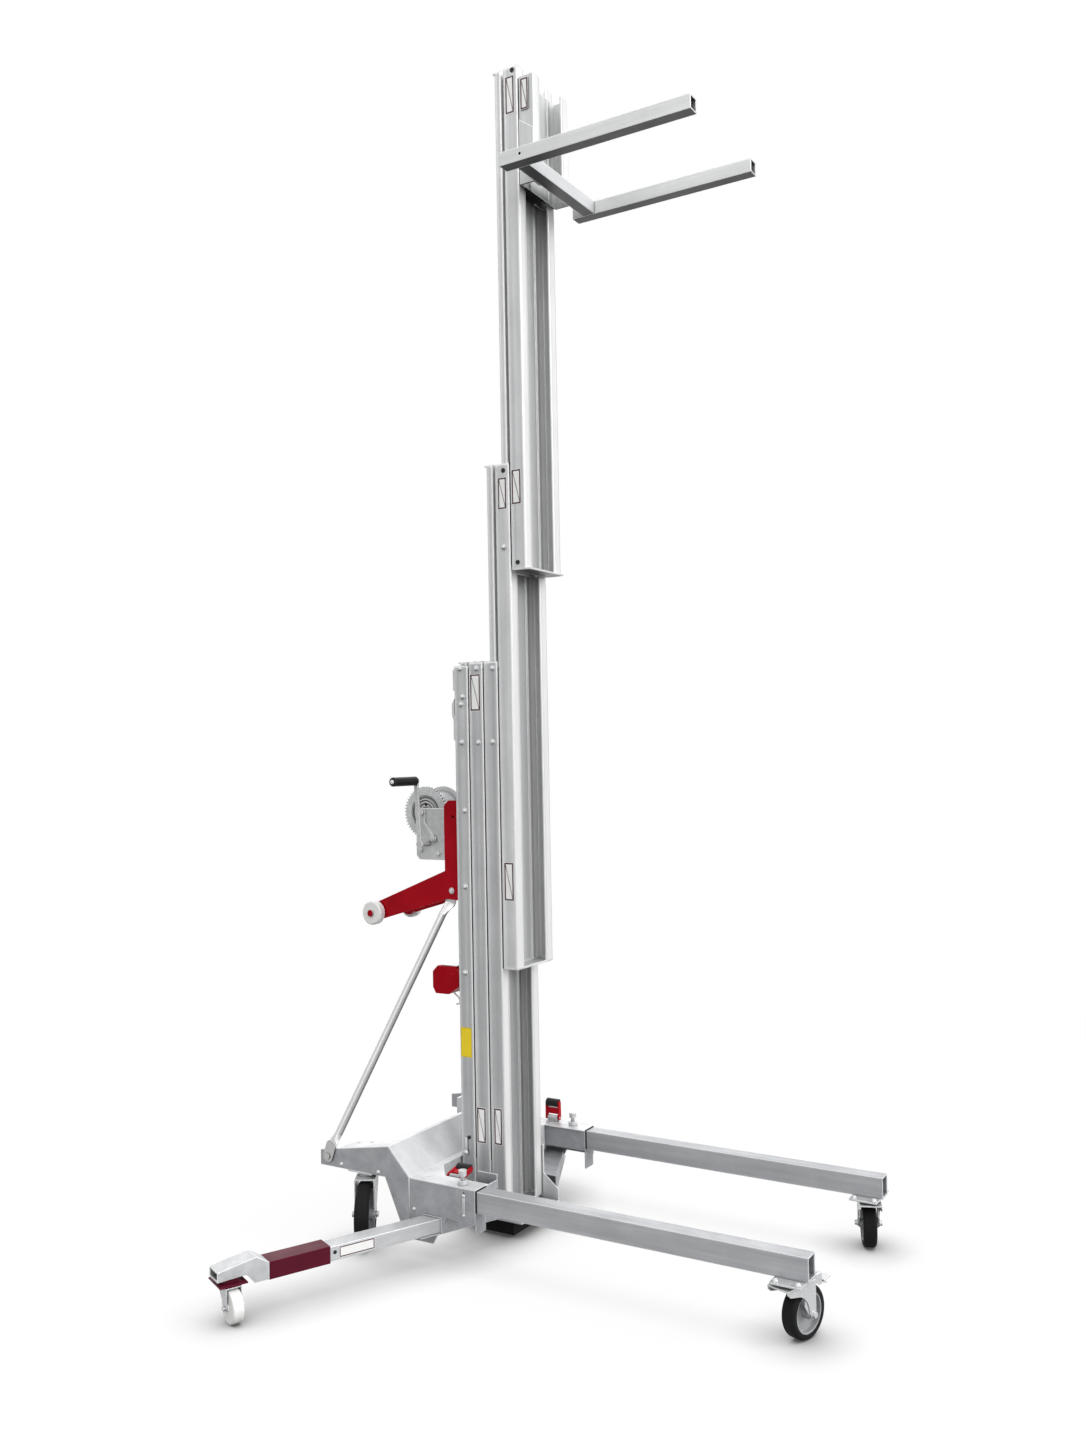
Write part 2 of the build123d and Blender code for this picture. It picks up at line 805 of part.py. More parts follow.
def lock_screw(side):
    """A clamping screw that passes through the deck onto the top of a leg."""
    flange_low = deck_top + turning_gap
    neck_low = flange_low + lock_flange_height
    head_low = neck_low + lock_neck_height
    y = side * leg_centre
    screw = rod_z(lock_x, y, leg_top + turning_gap, flange_low, lock_shank_radius)
    screw += rod_z(lock_x, y, flange_low, neck_low, lock_flange_radius)
    screw += rod_z(lock_x, y, neck_low, head_low, lock_neck_radius)
    screw += rod_z(lock_x, y, head_low, head_low + lock_head_height, lock_head_radius)
    return screw


lock_screw_right = lock_screw(-1)
lock_screw_left = lock_screw(1)

# Outrigger, drawn in its own line: S along the arm from the receiver's mouth, T across it

sleeve_start = arm_shown
sleeve_end = sleeve_start + sleeve_length
sleeve_half = arm_half + sleeve_wall

receiver_bore = block(-receiver_length - receiver_skew, receiver_lip, -arm_half - socket_gap, arm_half + socket_gap,
                      receiver_bottom + receiver_wall, socket_bottom - receiver_wall)
receiver_right = receiver_body() - outrigger_line * receiver_bore
receiver_right += outrigger_line * block(-receiver_half - receiver_skew, receiver_lip, -receiver_half, receiver_half,
                                         receiver_bottom, receiver_bottom + receiver_wall)
receiver_right -= block(-socket_front, 2 * socket_front, -well_outer, well_outer, receiver_bottom, socket_bottom)
receiver_left = mirrored(receiver_right)

arm = block(-arm_inside, sleeve_end, -arm_half, arm_half, arm_bottom, arm_top)
arm -= block(-arm_inside, sleeve_end, -arm_half + arm_wall, arm_half - arm_wall,
             arm_bottom + arm_wall, arm_top - arm_wall)
outrigger_arm = outrigger_line * arm

sleeve_low = arm_bottom - sleeve_wall
sleeve_high = arm_top + sleeve_wall
sleeve = block(sleeve_start, sleeve_end, -sleeve_half, sleeve_half, sleeve_low, sleeve_high)
sleeve -= block(sleeve_start, sleeve_end, -arm_half, arm_half, arm_bottom, arm_top)
outrigger_sleeve = outrigger_line * sleeve

end_peak_z = sleeve_high + end_peak_rise
end_tip_z = end_peak_z - end_tip_drop
end_floor = end_tip_z - end_tip_height
end_outline = [
    (sleeve_end, sleeve_low + end_side_drop),
    (sleeve_end, sleeve_high),
    (sleeve_end + end_peak, end_peak_z),
    (sleeve_end + end_length, end_tip_z),
    (sleeve_end + end_length, end_floor),
    (sleeve_end + end_notch, end_floor + end_notch_rise),
    (sleeve_end + end_heel, sleeve_low + end_side_drop),
]
end_hollow = [
    (sleeve_end, sleeve_low - end_wall),
    (sleeve_end, sleeve_high - end_wall),
    (sleeve_end + end_peak, end_peak_z - end_wall),
    (sleeve_end + end_length, end_tip_z - end_wall),
    (sleeve_end + end_length, end_floor + end_wall),
    (sleeve_end + end_notch, end_floor + end_wall),
    (sleeve_end + end_notch, sleeve_low - end_wall),
]
end_channel = side_shape(end_outline, -sleeve_half, sleeve_half)
end_channel -= side_shape(end_hollow, -sleeve_half + end_wall, sleeve_half - end_wall)
outrigger_end = outrigger_line * end_channel

outrigger_caster = CasterSize(
    mount_z=end_floor - outrigger_spacer - outrigger_plate,
    wheel_radius=outrigger_wheel_radius,
    wheel_width=outrigger_wheel_width,
    rim_radius=outrigger_wheel_radius,
    trail=36.0,
    race_radius=20.0,
    race_height=4.0,
    plate_length=outrigger_plate_length,
    plate_width=outrigger_plate_width,
    plate_thickness=outrigger_plate,
    crown=3.5,
    leg=3.0,
    boss_radius=9.0,
    axle_radius=4.0,
    hub_radius=12.0,
    kingpin_head=0.0,
    tread_round=5.0,
)
outrigger_swivel = sleeve_end + end_length - outrigger_caster_inset
lean = radians(outrigger_angle)
outrigger_caster_x = outrigger_mouth[0] - outrigger_swivel * sin(lean)
outrigger_caster_y = outrigger_mouth[1] - outrigger_swivel * cos(lean)

# Casters, drawn with the swivel axis at the origin and the wheel trailing along +X


def caster_plate(size):
    """The fixed top plate with its kingpin."""
    top = size.mount_z + size.plate_thickness
    half_length = size.plate_length / 2
    half_width = size.plate_width / 2
    part = block(-half_length, half_length, -half_width, half_width, size.mount_z, top)
    pin_low = size.mount_z - size.race_height - size.crown - turning_gap
    part += rod_z(0, 0, pin_low, size.mount_z, size.kingpin_radius)
    if size.kingpin_head > 0:
        part += rod_z(0, 0, pin_low - size.kingpin_head, pin_low, size.kingpin_radius * 1.6)
    return part


def caster_fork(size):
    """The swivelling fork: race, crown, two tapered legs and the wheel axle."""
    crown_top = size.mount_z - size.race_height
    crown_low = crown_top - size.crown
    gap_half = size.wheel_width / 2 + size.side_gap
    fork_half = gap_half + size.leg
    axle_z = size.wheel_radius
    reach = size.trail + size.boss_radius
    heel = -size.race_radius * 0.9
    crown_plan = [Circle(size.race_radius), rect(heel, reach, -fork_half, fork_half)]
    crown_edges = [edge for shape in crown_plan for edge in shape.edges()]
    part = Pos(0, 0, crown_low) * extrude(make_hull(crown_edges), amount=size.crown)
    part += rod_z(0, 0, crown_top, size.mount_z - turning_gap, size.race_radius)
    boss = Pos(size.trail, axle_z) * Circle(size.boss_radius)
    shoulder = rect(heel, reach, crown_low - size.crown, crown_low)
    leg = side_hull([boss, shoulder], gap_half, fork_half)
    if size.waist > 0:
        drop = crown_low - size.crown - axle_z
        scoop_z = axle_z + drop / 2
        scoop_radius = (drop * drop / 4 + size.waist * size.waist) / (2 * size.waist)
        scoop_x = (heel + size.trail - size.boss_radius) / 2 - scoop_radius + size.waist
        leg -= rod_y(scoop_x, scoop_z, gap_half, fork_half, scoop_radius)
    part += leg
    part += mirrored(leg)
    part += rod_y(size.trail, axle_z, -fork_half, fork_half, size.axle_radius)
    cap_end = fork_half + size.axle_cap
    part += rod_y(size.trail, axle_z, fork_half, cap_end, size.axle_radius * 1.6)
    part += rod_y(size.trail, axle_z, -cap_end, -fork_half, size.axle_radius * 1.6)
    bore = rod_z(0, 0, crown_low, size.mount_z, size.kingpin_radius + running_fit)
    return part - bore


def caster_rim(size):
    """A wheel centre: hub, dished disc and outer ring."""
    hub_half = size.wheel_width / 2 + size.side_gap - turning_gap
    ring_half = size.wheel_width / 2 - size.ring_inset
    part = rod_y(size.trail, size.wheel_radius, -ring_half, ring_half, size.rim_radius)
    ring_bore = size.rim_radius - size.rim_wall
    for side in (-1, 1):
        low, high = sorted((side * size.disc / 2, side * ring_half))
        part -= rod_y(size.trail, size.wheel_radius, low, high, ring_bore)
    part += rod_y(size.trail, size.wheel_radius, -hub_half, hub_half, size.hub_radius)
    bore = size.axle_radius + running_fit
    return part - rod_y(size.trail, size.wheel_radius, -hub_half, hub_half, bore)


def tread(size, inner_radius):
    """A rolling ring with its outer corners rounded off."""
    half_width = size.wheel_width / 2
    ring = rod_y(size.trail, size.wheel_radius, -half_width, half_width, size.wheel_radius)
    round_off = min(size.tread_round, 0.9 * half_width)
    ring = fillet(outer_circles(ring, size.wheel_radius), round_off)
    return ring - rod_y(size.trail, size.wheel_radius, -half_width, half_width, inner_radius)


def caster_tyre(size):
    """The tyre of a two-piece wheel."""
    return tread(size, size.rim_radius + running_fit)


def solid_wheel(size):
    """A one-piece roller wheel with a longer hub."""
    hub_half = size.wheel_width / 2 + size.side_gap - turning_gap
    wheel = tread(size, size.hub_radius)
    bore = size.axle_radius + running_fit
    hub = rod_y(size.trail, size.wheel_radius, -hub_half, hub_half, size.hub_radius)
    return wheel + (hub - rod_y(size.trail, size.wheel_radius, -hub_half, hub_half, bore))


def placed(solid, x, y, heading):
    """A caster piece set on its swivel axis and turned to its heading."""
    return Pos(x, y, 0) * Rot(0, 0, heading) * solid


def pedal_ears(size):
    """The ears and pin on the braked fork that carry the pedal."""
    crown_low = size.mount_z - size.race_height - size.crown
    ear_inner = pedal_half_width + turning_gap
    eye = Pos(pedal_pivot, pedal_pivot_z) * Circle(pedal_ear_radius)
    root = rect(size.trail, pedal_pivot + pedal_ear_radius, crown_low, crown_low + size.crown)
    ear = side_hull([eye, root], ear_inner, ear_inner + pedal_ear)
    pin = rod_y(pedal_pivot, pedal_pivot_z, -ear_inner, ear_inner, pedal_pin_radius)
    return ear + mirrored(ear) + pin


def brake_pedal():
    """A two-way pedal: one blade to press the brake on and one to let it off."""
    hub = rod_y(0, 0, -pedal_half_width, pedal_half_width, pedal_hub_radius)
    press_half = pedal_press_width / 2
    press = block(pedal_hub_radius + pedal_ear, pedal_press_length, -press_half, press_half,
                  -pedal_thickness / 2, pedal_thickness / 2)
    press += block(0, pedal_hub_radius + pedal_ear, -pedal_half_width, pedal_half_width,
                   -pedal_thickness / 2, pedal_thickness / 2)
    press -= block(pedal_press_length / 2, pedal_press_length, -pedal_slot / 2, pedal_slot / 2,
                   -pedal_thickness, pedal_thickness)
    release_half = pedal_release_width / 2
    release = block(pedal_hub_radius + pedal_ear, pedal_release_length, -release_half, release_half,
                    -pedal_thickness / 2, pedal_thickness / 2)
    release += block(0, pedal_hub_radius + pedal_ear, -pedal_half_width, pedal_half_width,
                     -pedal_thickness / 2, pedal_thickness / 2)
    pedal = hub + Rot(0, pedal_press_lean, 0) * press + Rot(0, pedal_release_lean, 0) * release
    pedal -= rod_y(0, 0, -pedal_half_width, pedal_half_width, pedal_pin_radius + running_fit)
    return Pos(pedal_pivot, 0, pedal_pivot_z) * pedal


tail_centre = frame_outer - tail_width / 2
caster_plates = placed(caster_plate(front_caster), front_caster_x, -leg_centre, 0)
caster_plates += placed(caster_plate(front_caster), front_caster_x, leg_centre, 0)
caster_plates += placed(caster_plate(rear_caster), rear_caster_x, -tail_centre, 0)
caster_plates += placed(caster_plate(rear_caster), rear_caster_x, tail_centre, 0)

caster_places = {
    "front_right": (front_caster, front_caster_x, -leg_centre, front_right_heading),
    "front_left": (front_caster, front_caster_x, leg_centre, front_left_heading),
    "rear_right": (rear_caster, rear_caster_x, -tail_centre, rear_right_heading),
    "rear_left": (rear_caster, rear_caster_x, tail_centre, rear_left_heading),
}

# Side stay: a round tube with flattened ends

stay_head_y = strut_tab / 2 - bracket_outer + bracket_plate
stay_foot_y = -strut_tab / 2 - frame_outer
stay_head = Vector(strut_top_x, stay_head_y, strut_top_z)
stay_foot = Vector(strut_foot_x, stay_foot_y, strut_foot_z)
stay_line = (stay_foot - stay_head).normalized()


def stay_end(bolt, way, tab_length):
    """A flattened stay end: an eyed tab, and the swelling from the tab to the round tube."""
    flat_way = Vector(way.X, 0, way.Z).normalized()
    flat_end = bolt + flat_way * tab_length
    round_end = bolt + way * (tab_length + strut_flattening)
    eye = Pos(bolt.X, bolt.Z) * Circle(strut_tab_width / 2)
    root = Pos(flat_end.X, flat_end.Z) * Circle(strut_tab_width / 2)
    tab = side_hull([eye, root], bolt.Y - strut_tab / 2, bolt.Y + strut_tab / 2)
    flat_plane = Plane(origin=flat_end, x_dir=(0, 1, 0), z_dir=flat_way)
    round_plane = Plane(origin=round_end, x_dir=(0, 1, 0), z_dir=way)
    flat = flat_plane * RectangleRounded(strut_tab, strut_tab_width, strut_tab * 0.45)
    swelling = loft([flat, round_plane * Circle(strut_radius)])
    return tab + swelling, round_plane, round_end


head_end, head_plane, tube_start = stay_end(stay_head, stay_line, strut_head_tab)
foot_end, foot_plane, tube_end = stay_end(stay_foot, stay_line * -1, strut_foot_tab)
strut = extrude(head_plane * Circle(strut_radius), amount=(tube_end - tube_start).length)
strut += head_end
strut += foot_end
stay_face = stay_foot_y - strut_tab / 2
strut += rod_y(strut_foot_x, strut_foot_z, stay_foot_y, -frame_inner, strut_bolt_radius)
strut += rod_y(strut_foot_x, strut_foot_z, stay_face - strut_bolt_head, stay_face, strut_bolt_head_radius)
strut += rod_y(strut_foot_x, strut_foot_z, -frame_inner, strut_bolt_head - frame_inner, strut_bolt_head_radius)

# Mast bracket: two cranked side plates and a cross wall, with the loading rollers

bracket_inner = bracket_outer - bracket_plate
bracket_outline = [
    (0, bracket_low),
    (0, bracket_top),
    (bracket_rear + bracket_corner, bracket_top),
    (bracket_rear, bracket_top - bracket_corner),
    (bracket_rear, bracket_arm_top),
    bracket_arm_end_top,
    bracket_arm_end_low,
    bracket_arm_heel,
]
bracket_side = side_shape(bracket_outline, bracket_inner, bracket_outer)
bracket_side += rod_y(roller_x, roller_z, bracket_inner, bracket_outer, bracket_end_radius)
bracket_side -= rod_y(roller_x, roller_z, bracket_inner, bracket_outer, roller_axle_radius + running_fit)
bracket_side -= rod_y(bracket_window[0], bracket_window[1], bracket_inner, bracket_outer, bracket_window_radius)
roller_bracket = bracket_side + mirrored(bracket_side)
cross_front = bracket_rear + bracket_cross_wall - bracket_cross_inset
cross_rear = bracket_rear - bracket_cross_inset
roller_bracket += block(cross_rear, cross_front, -bracket_inner, bracket_inner, bracket_cross_low, bracket_cross_top)

roller_inner = bracket_outer + roller_gap
roller_outer = roller_inner + roller_width
axle_half = roller_outer + turning_gap
roller_axle = rod_y(roller_x, roller_z, -axle_half, axle_half, roller_axle_radius)
roller_axle += rod_y(roller_x, roller_z, axle_half, axle_half + roller_cap_width, roller_cap_radius)
roller_axle += rod_y(roller_x, roller_z, -axle_half - roller_cap_width, -axle_half, roller_cap_radius)

load_roller_left = rod_y(roller_x, roller_z, roller_inner, roller_outer, roller_radius)
load_roller_left = chamfer(outer_circles(load_roller_left, roller_radius), roller_edge)
load_roller_left -= rod_y(roller_x, roller_z, roller_inner, roller_outer, roller_axle_radius + running_fit)
load_roller_right = mirrored(load_roller_left)

# Winch

drum_pitch_radius = gear_module * drum_teeth / 2
pinion_pitch_radius = gear_module * pinion_teeth / 2
centre_distance = drum_pitch_radius + pinion_pitch_radius
mesh_angle = radians(mesh_lean) - pi / 2
pinion_x = drum_x + centre_distance * cos(mesh_angle)
pinion_z = drum_z + centre_distance * sin(mesh_angle)


def gear(teeth, phase, x, z, y0, y1):
    """A spur gear along Y with straight-flanked teeth, one of them at the phase angle."""
    pitch_radius = gear_module * teeth / 2
    tip = pitch_radius + addendum * gear_module
    root = pitch_radius - dedendum * gear_module
    step = 2 * pi / teeth
    corners = ((root, -tooth_root_share), (tip, -tooth_tip_share), (tip, tooth_tip_share), (root, tooth_root_share))
    points = []
    for tooth in range(teeth):
        for radius, share in corners:
            angle = phase + (tooth + share) * step
            points.append((x + radius * cos(angle), z + radius * sin(angle)))
    return side_shape(points, y0, y1)


drum_far = drum_near + gear_width + drum_barrel_width
winch_drum = gear(drum_teeth, mesh_angle, drum_x, drum_z, drum_near, drum_near + gear_width)
dish = rod_y(drum_x, drum_z, drum_near, drum_near + drum_dish_depth, drum_dish_radius)
winch_drum -= dish
for ring_radius in drum_ring_radii:
    ring = rod_y(drum_x, drum_z, drum_near, drum_near + drum_dish_depth, ring_radius)
    ring -= rod_y(drum_x, drum_z, drum_near, drum_near + drum_dish_depth, ring_radius - drum_ring_width)
    winch_drum += ring
barrel = rod_y(drum_x, drum_z, drum_near + gear_width, drum_far, drum_barrel_radius)
barrel -= rod_y(drum_x, drum_z, drum_near + gear_width, drum_far, drum_barrel_radius - drum_wall)
winch_drum += barrel
winch_drum += rod_y(drum_x, drum_z, drum_far, drum_far + drum_flange, drum_flange_radius)
shaft_half = winch_half_width + winch_plate
for hole in range(drum_holes):
    hole_angle = 2 * pi * hole / drum_holes
    hole_x = drum_x + drum_hole_circle * cos(hole_angle)
    hole_z = drum_z + drum_hole_circle * sin(hole_angle)
    winch_drum -= rod_y(hole_x, hole_z, drum_near, drum_far + drum_flange, drum_hole_radius)
winch_drum += rod_y(drum_x, drum_z, drum_near, drum_far + drum_flange, drum_hub_radius)
winch_drum += rod_y(drum_x, drum_z, -shaft_half, shaft_half, drum_shaft_radius)

winch_front = cross_rear
winch_low = drum_z - winch_drop
winch_top = drum_z + winch_rise
winch_outline = [
    (winch_front, winch_low),
    (winch_front, winch_top),
    (winch_rear + winch_corner, winch_top),
    (winch_rear, winch_top - winch_corner),
    (winch_rear, winch_low + winch_corner),
    (winch_rear + winch_corner, winch_low),
]
winch_inner = winch_half_width - winch_plate
winch_side = side_shape(winch_outline, winch_inner, winch_half_width)
winch_side -= rod_y(drum_x, drum_z, winch_inner, winch_half_width, drum_shaft_radius + running_fit)
winch_side -= rod_y(pinion_x, pinion_z, winch_inner, winch_half_width, crank_shaft_radius + running_fit)
winch_frame = winch_side + mirrored(winch_side)
pawl_rounds = [Pos(drum_x, drum_z) * Circle(pawl_eye_radius)]
pawl_rounds += [Pos(drum_x + x, drum_z + z) * Circle(radius) for x, z, radius in pawl_bends]
pawl_near = -winch_half_width - pawl_thickness
winch_frame += side_hull(pawl_rounds[:2], pawl_near, -winch_half_width)
winch_frame += side_hull(pawl_rounds[1:], pawl_near, -winch_half_width)
winch_frame -= rod_y(drum_x, drum_z, pawl_near, -winch_half_width, drum_shaft_radius + running_fit)
winch_frame += block(winch_front - winch_back, winch_front, -winch_inner, winch_inner, winch_low, winch_top)

pinion_phase = mesh_angle + pi + pi / pinion_teeth
pinion_near = drum_near + gear_width / 2 - pinion_width / 2
crank = gear(pinion_teeth, pinion_phase, pinion_x, pinion_z, pinion_near, pinion_near + pinion_width)
crank_end = crank_plane - crank_arm
crank += rod_y(pinion_x, pinion_z, crank_end, shaft_half, crank_shaft_radius)
grip_x = pinion_x - crank_length * sin(radians(crank_lean))
grip_z = pinion_z + crank_length * cos(radians(crank_lean))
crank_foot = Pos(pinion_x, pinion_z) * Circle(crank_arm_radius)
crank_tip = Pos(grip_x, grip_z) * Circle(crank_arm_radius)
crank += side_hull([crank_foot, crank_tip], crank_end, crank_plane)
crank += rod_y(pinion_x, pinion_z, crank_end, crank_plane, crank_hub_radius)
crank += rod_y(grip_x, grip_z, crank_end, crank_plane, crank_eye_radius)
grip_near = crank_end - turning_gap
grip_far = grip_near - grip_length
crank += rod_y(grip_x, grip_z, grip_far - turning_gap, crank_end, grip_pin_radius)
crank += rod_y(grip_x, grip_z, grip_far - turning_gap - grip_cap, grip_far - turning_gap, grip_cap_radius)
crank_grip = rod_y(grip_x, grip_z, grip_far, grip_near, grip_radius)
crank_grip = chamfer(outer_circles(crank_grip, grip_radius), grip_cap)
crank_grip -= rod_y(grip_x, grip_z, grip_far, grip_near, grip_pin_radius + running_fit)

# Strap reel housing and grab handles behind the fixed section

reel_top = reel_low + reel_height
reel_front = -reel_stand_off
reel_rear = reel_front - reel_depth
reel_far = reel_near + reel_width
reel_outline = [
    (reel_front, reel_low + reel_toe_rise),
    (reel_front, reel_top - reel_corner),
    (reel_front - reel_corner, reel_top),
    (reel_rear + reel_corner, reel_top),
    (reel_rear, reel_top - reel_corner),
    (reel_rear, reel_low + reel_corner),
    (reel_rear + reel_heel, reel_low),
    (reel_front - reel_toe_run, reel_low),
]
strap_reel = side_shape(reel_outline, reel_near, reel_far)
reel_middle = (reel_low + reel_top) / 2
strap_reel += block(reel_front, 0, reel_far - reel_bracket, reel_far,
                    reel_middle - reel_bracket_height / 2, reel_middle + reel_bracket_height / 2)

handle_outline = [
    (0, handle_low),
    (0, handle_high),
    (-handle_depth / 2, handle_high),
    (-handle_stem, handle_high - handle_taper / 2),
    (-handle_depth, handle_high - handle_taper),
    (-handle_depth, handle_slot_low),
    (-handle_stem, handle_slot_low - handle_bulge),
    (-handle_stem, handle_low),
]
handle_side = side_shape(handle_outline, handle_offset, handle_offset + handle_plate)
handle_side -= block(-handle_slot_inset - handle_slot_width, -handle_slot_inset, handle_offset,
                     handle_offset + handle_plate, handle_slot_low, handle_slot_high)
handle_side += block(-handle_block_depth, 0, handle_offset, handle_offset + handle_plate,
                     handle_block_low, handle_block_high)
grab_handles = handle_side + mirrored(handle_side)

# Every piece by name

nodes = {
    "side_frame_right": side_frame_right,
    "side_frame_left": side_frame_left,
    "deck": deck,
    "mast_well": mast_well,
    "receiver_right": receiver_right,
    "receiver_left": receiver_left,
    "leg_right": leg_right,
    "leg_left": leg_left,
    "mast_a": mast_a,
    "guides_a": guides_a,
    "strut": strut,
    "roller_bracket": roller_bracket,
    "roller_axle": roller_axle,
    "winch_frame": winch_frame,
    "strap_reel": strap_reel,
    "grab_handles": grab_handles,
    "caster_plates": caster_plates,
    "foot_block": foot_block,
    "mast_b": mast_b,
    "guides_b": guides_b,
    "mast_c": mast_c,
    "guides_c": guides_c,
    "mast_d": mast_d,
    "guides_d": guides_d,
    "mast_e": mast_e,
    "guides_e": guides_e,
    "carriage": carriage,
    "crossbar": crossbar,
    "fork_right": fork_right,
    "fork_left": fork_left,
    "winch_drum": winch_drum,
    "crank": crank,
    "crank_grip": crank_grip,
    "load_roller_right": load_roller_right,
    "load_roller_left": load_roller_left,
    "lever_right": lever_right,
    "lever_grip_right": lever_grip_right,
    "lever_left": lever_left,
    "lever_grip_left": lever_grip_left,
    "lock_screw_right": lock_screw_right,
    "lock_screw_left": lock_screw_left,
    "outrigger_arm": outrigger_arm,
    "outrigger_sleeve": outrigger_sleeve,
    "outrigger_end": outrigger_end,
}

for corner, (size, x, y, heading) in caster_places.items():
    swivel_fork = caster_fork(size)
    if corner == "front_right":
        swivel_fork += pedal_ears(size)
        nodes["brake_pedal"] = placed(brake_pedal(), x, y, heading)
    nodes[f"{corner}_fork"] = placed(swivel_fork, x, y, heading)
    nodes[f"{corner}_rim"] = placed(caster_rim(size), x, y, heading)
    nodes[f"{corner}_tyre"] = placed(caster_tyre(size), x, y, heading)

plate_turn = -90 - outrigger_angle
spacer_half = outrigger_spacer_width / 2
spacer = block(-spacer_half, spacer_half, -spacer_half, spacer_half, end_floor - outrigger_spacer, end_floor)
outrigger_top = caster_plate(outrigger_caster) + spacer
nodes["outrigger_plate"] = placed(outrigger_top, outrigger_caster_x, outrigger_caster_y, plate_turn)
nodes["outrigger_fork"] = placed(caster_fork(outrigger_caster), outrigger_caster_x, outrigger_caster_y,
                                 outrigger_heading)
nodes["outrigger_wheel"] = placed(solid_wheel(outrigger_caster), outrigger_caster_x, outrigger_caster_y,
                                  outrigger_heading)

# The origin is the middle of the standing object's footprint, on the floor

extent = Compound(children=[Compound(part.solids()) for part in nodes.values()]).bounding_box()
to_origin = Pos(-extent.center().X, -extent.center().Y, 0)

os.makedirs("parts", exist_ok=True)
for name, part in nodes.items():
    export_step(to_origin * Compound(part.solids()), f"parts/{name}.step")
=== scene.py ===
from math import cos, pi, radians, sin
import bmesh
import bpy
from mathutils import Matrix, Vector


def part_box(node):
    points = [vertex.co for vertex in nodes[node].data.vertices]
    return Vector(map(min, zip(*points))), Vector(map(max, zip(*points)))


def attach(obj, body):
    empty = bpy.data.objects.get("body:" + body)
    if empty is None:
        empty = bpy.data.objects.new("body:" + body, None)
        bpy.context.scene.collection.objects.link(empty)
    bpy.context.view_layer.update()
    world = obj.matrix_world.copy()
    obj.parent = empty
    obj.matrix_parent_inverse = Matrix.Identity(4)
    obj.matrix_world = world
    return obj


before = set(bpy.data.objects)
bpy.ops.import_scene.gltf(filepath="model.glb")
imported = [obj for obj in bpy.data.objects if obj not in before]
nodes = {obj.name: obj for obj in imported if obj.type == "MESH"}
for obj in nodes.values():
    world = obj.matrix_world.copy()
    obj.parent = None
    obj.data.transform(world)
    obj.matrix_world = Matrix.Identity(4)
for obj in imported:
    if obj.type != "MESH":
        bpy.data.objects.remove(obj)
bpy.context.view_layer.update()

# Base sheet metal: side plates with tails, folded deck, mast well and outrigger receivers.
# Aluminium sheet and plate, cut, folded and welded; the faces are satin with cloudy
# patches, the cut edges are worn bright and carry a painted highlight, and hollows,
# seams and undersides are darkened with painted shade.


def material(name):
    """An empty node material with its Principled shader."""
    made = bpy.data.materials.new(name)
    made.use_nodes = True
    tree = made.node_tree
    return made, tree, tree.nodes["Principled BSDF"]


def socket(group, name, way, kind):
    """One named input or output on a shader group."""
    group.interface.new_socket(name=name, in_out=way, socket_type=kind)


def ranged(tree, source, low, high, start=0.3, end=0.7):
    """A value spread between two limits; noise mostly lies between 0.3 and 0.7."""
    made = tree.nodes.new("ShaderNodeMapRange")
    made.inputs["From Min"].default_value = start
    made.inputs["From Max"].default_value = end
    made.inputs["To Min"].default_value = low
    made.inputs["To Max"].default_value = high
    tree.links.new(source, made.inputs["Value"])
    return made.outputs["Result"]


def drawn_lines_group():
    """Fine lines along one direction, as a die or a brush leaves them, and broad cloudy patches."""
    group = bpy.data.node_groups.new("drawn_lines", "ShaderNodeTree")
    socket(group, "Stretch", "INPUT", "NodeSocketVector")
    socket(group, "Lines", "OUTPUT", "NodeSocketFloat")
    socket(group, "Patches", "OUTPUT", "NodeSocketFloat")
    put = group.nodes.new
    link = group.links.new
    ends = put("NodeGroupInput")
    out = put("NodeGroupOutput")
    where = put("ShaderNodeTexCoord")
    scaled = put("ShaderNodeVectorMath")
    scaled.operation = "MULTIPLY"
    link(where.outputs["Object"], scaled.inputs[0])
    link(ends.outputs["Stretch"], scaled.inputs[1])
    patterns = (("Lines", scaled.outputs["Vector"], 1.0), ("Patches", where.outputs["Object"], 7.0))
    for result, source, scale in patterns:
        noise = put("ShaderNodeTexNoise")
        noise.inputs["Scale"].default_value = scale
        noise.inputs["Detail"].default_value = 4.0
        noise.inputs["Roughness"].default_value = 0.6
        link(source, noise.inputs["Vector"])
        link(noise.outputs["Fac"], out.inputs[result])
    return group


def worn_and_lit_edges_group():
    """A mask that is 1 along the edges of a piece, for worn edges with a painted highlight, and the
    edge-rounded normal.
    """
    group = bpy.data.node_groups.new("worn_and_lit_edges", "ShaderNodeTree")
    socket(group, "Radius", "INPUT", "NodeSocketFloat")
    socket(group, "Edge", "OUTPUT", "NodeSocketFloat")
    socket(group, "Normal", "OUTPUT", "NodeSocketVector")
    put = group.nodes.new
    link = group.links.new
    ends = put("NodeGroupInput")
    out = put("NodeGroupOutput")
    rounded = put("ShaderNodeBevel")
    rounded.samples = 6
    link(ends.outputs["Radius"], rounded.inputs["Radius"])
    shape = put("ShaderNodeNewGeometry")
    facing = put("ShaderNodeVectorMath")
    facing.operation = "DOT_PRODUCT"
    link(rounded.outputs["Normal"], facing.inputs[0])
    link(shape.outputs["True Normal"], facing.inputs[1])
    flat, worn = 0.998, 0.93
    link(ranged(group, facing.outputs["Value"], 0.0, 1.0, flat, worn), out.inputs["Edge"])
    link(rounded.outputs["Normal"], out.inputs["Normal"])
    return group


